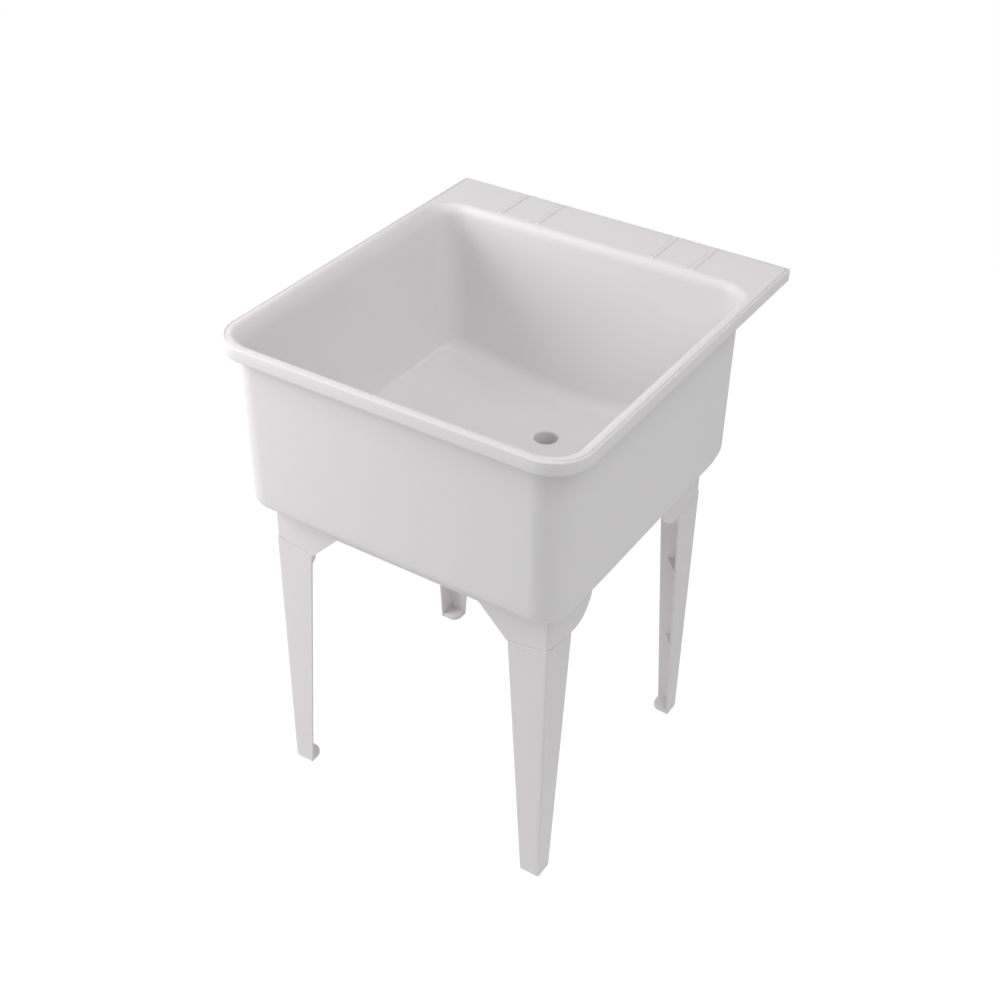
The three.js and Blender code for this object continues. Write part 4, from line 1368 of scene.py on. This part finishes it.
low, high, radius = node_size("drain_washer")
washer = turned(ring_profile(TUBE_BORE, low, high, (radius, low.z), (radius, high.z)), WASHER_SOFT)
dress("drain_washer", "flat_washer", at_drain(washer), washer_rubber)

low, high, radius = node_size("tailpiece")
under_flange = high.z - FLANGE_HEIGHT
tube_outside = [(TUBE_RADIUS, low.z), (TUBE_RADIUS, under_flange), (radius, under_flange), (radius, high.z)]
tube = turned(ring_profile(TUBE_BORE, low, high, *tube_outside), FITTING_SOFT)
dress("tailpiece", "outlet_tube", at_drain(tube), fitting_plastic)

# %% Winged nut
NUT_WALL = 4.2
NUT_LIP = 5.0
NUT_CHAMFER = 1.4
NUT_WINGS = 8
WING_WIDTH = 5.0
WING_HEIGHT = 3.0
WING_SOFT = 1.0


def winged_nut():
    low, high, reach = node_size("coupling_nut")
    outer = reach - WING_HEIGHT
    bore, hole = outer - NUT_WALL, TUBE_RADIUS + SEAT_GAP
    lip_top = low.z + NUT_LIP
    body = turned(
        [
            (hole, low.z),
            (outer - NUT_CHAMFER, low.z),
            (outer, low.z + NUT_CHAMFER),
            (outer, high.z),
            (bore, high.z),
            (bore, lip_top),
            (hole, lip_top),
        ],
        FITTING_SOFT,
    )
    wings = []
    for number in range(NUT_WINGS):
        near = (outer - NUT_WALL / 2, -WING_WIDTH / 2, low.z + NUT_WALL / 2)
        wing = block(near, (reach, WING_WIDTH / 2, high.z - NUT_WALL / 2), WING_SOFT)
        turn = Matrix.Rotation(2 * math.pi * number / NUT_WINGS, 4, "Z")
        bmesh.ops.transform(wing, matrix=turn, verts=wing.verts)
        wings.append(wing)
    return combined(body, wings)


dress("coupling_nut", "winged_nut", at_drain(winged_nut()), fitting_plastic)

# %% [markdown]
# ## Floor and backdrop
#
# The sink stands on a plain white floor that runs back until the view ends. A white that is only lit
# never quite reaches white without burning out the sink too. So the floor and the world look at what
# kind of ray has hit them. To the camera, and in reflections, both are nearly white by themselves. To
# the light that bounces about the sink they are an ordinary pale floor and a soft grey sky. A share of
# the floor stays lit for the camera too, and that share carries the sink's shadow.


# %% Floor
def seen(nodes):
    """1 for a ray from the camera, or one that a reflection or glass has sent on."""
    rays = ("Is Camera Ray", "Is Glossy Ray", "Is Transmission Ray")
    camera, glossy, sent_on = (nodes.node("ShaderNodeLightPath", {}, {}, output=ray) for ray in rays)
    return camera + glossy + sent_on


FLOOR_SIZE = 16.0
FLOOR_GREY = (0.90, 0.90, 0.90, 1.0)
FLOOR_ROUGHNESS = 0.9
FLOOR_OWN_WHITE = 0.80
FLOOR_GLOW = 1.16


def make_floor():
    finish = Finish("white floor")
    finish.set(Base_Color=FLOOR_GREY, Roughness=FLOOR_ROUGHNESS, Specular_IOR_Level=0.0)
    glow = finish.node("ShaderNodeEmission", {}, {"Strength": FLOOR_GLOW})
    lit = Value(finish, finish.shader.outputs[0])
    mixed = finish.node("ShaderNodeMixShader", {}, {0: seen(finish) * FLOOR_OWN_WHITE, 1: lit, 2: glow})
    finish.plug(finish.tree.nodes["Material Output"].inputs["Surface"], mixed)
    bm = bmesh.new()
    bmesh.ops.create_grid(bm, x_segments=1, y_segments=1, size=FLOOR_SIZE / 2)
    floor = temporary("floor", bm)
    floor.data.materials.append(finish.material)


SKY = 0.37


def make_world():
    world = bpy.data.worlds.new("studio")
    bpy.context.scene.world = world
    world.use_nodes = True
    nodes = Nodes(world.node_tree)
    background = world.node_tree.nodes["Background"]
    background.inputs["Color"].default_value = (1, 1, 1, 1)
    nodes.plug(background.inputs["Strength"], seen(nodes) * (1 - SKY) + SKY)


make_floor()
make_world()
print("floor", FLOOR_SIZE, "m; sky", SKY)

# %% [markdown]
# ## Light
#
# Soft and even, as in a catalogue. A small key stands low at the front left. It draws the round edges
# and makes the front the brightest wall. A large fill from the front right keeps the right side from
# going dark, and a high one on the right reaches down into the basin. Their places and powers were
# fitted to the tones of the walls, the floor and the legs.

# %% Softboxes
Softbox = namedtuple("Softbox", "name azimuth elevation distance size power")
SOFTBOXES = [
    Softbox("key", -55, 28, 1.8, 1.0, 19.4),
    Softbox("fill", 60, 50, 3.6, 2.0, 20.5),
    Softbox("right", 90, 65, 3.0, 2.0, 16.0),
]
LIGHT_AIM = Vector((0, 0, 0.6))


def add_softbox(box):
    """A square lamp; azimuth 0 is in front of the sink, 90 to its right."""
    azimuth, elevation = math.radians(box.azimuth), math.radians(box.elevation)
    level = math.cos(elevation)
    towards = Vector((level * math.sin(azimuth), -level * math.cos(azimuth), math.sin(elevation)))
    light = bpy.data.lights.new(box.name, "AREA")
    light.shape = "SQUARE"
    light.size = box.size
    light.energy = box.power
    lamp = bpy.data.objects.new(box.name, light)
    lamp.location = LIGHT_AIM + towards * box.distance
    lamp.rotation_euler = towards.to_track_quat("Z", "Y").to_euler()
    lamp.visible_camera = False
    bpy.context.scene.collection.objects.link(lamp)


for box in SOFTBOXES:
    add_softbox(box)
bpy.context.scene.view_settings.view_transform = "Standard"
print(len(SOFTBOXES), "softboxes")
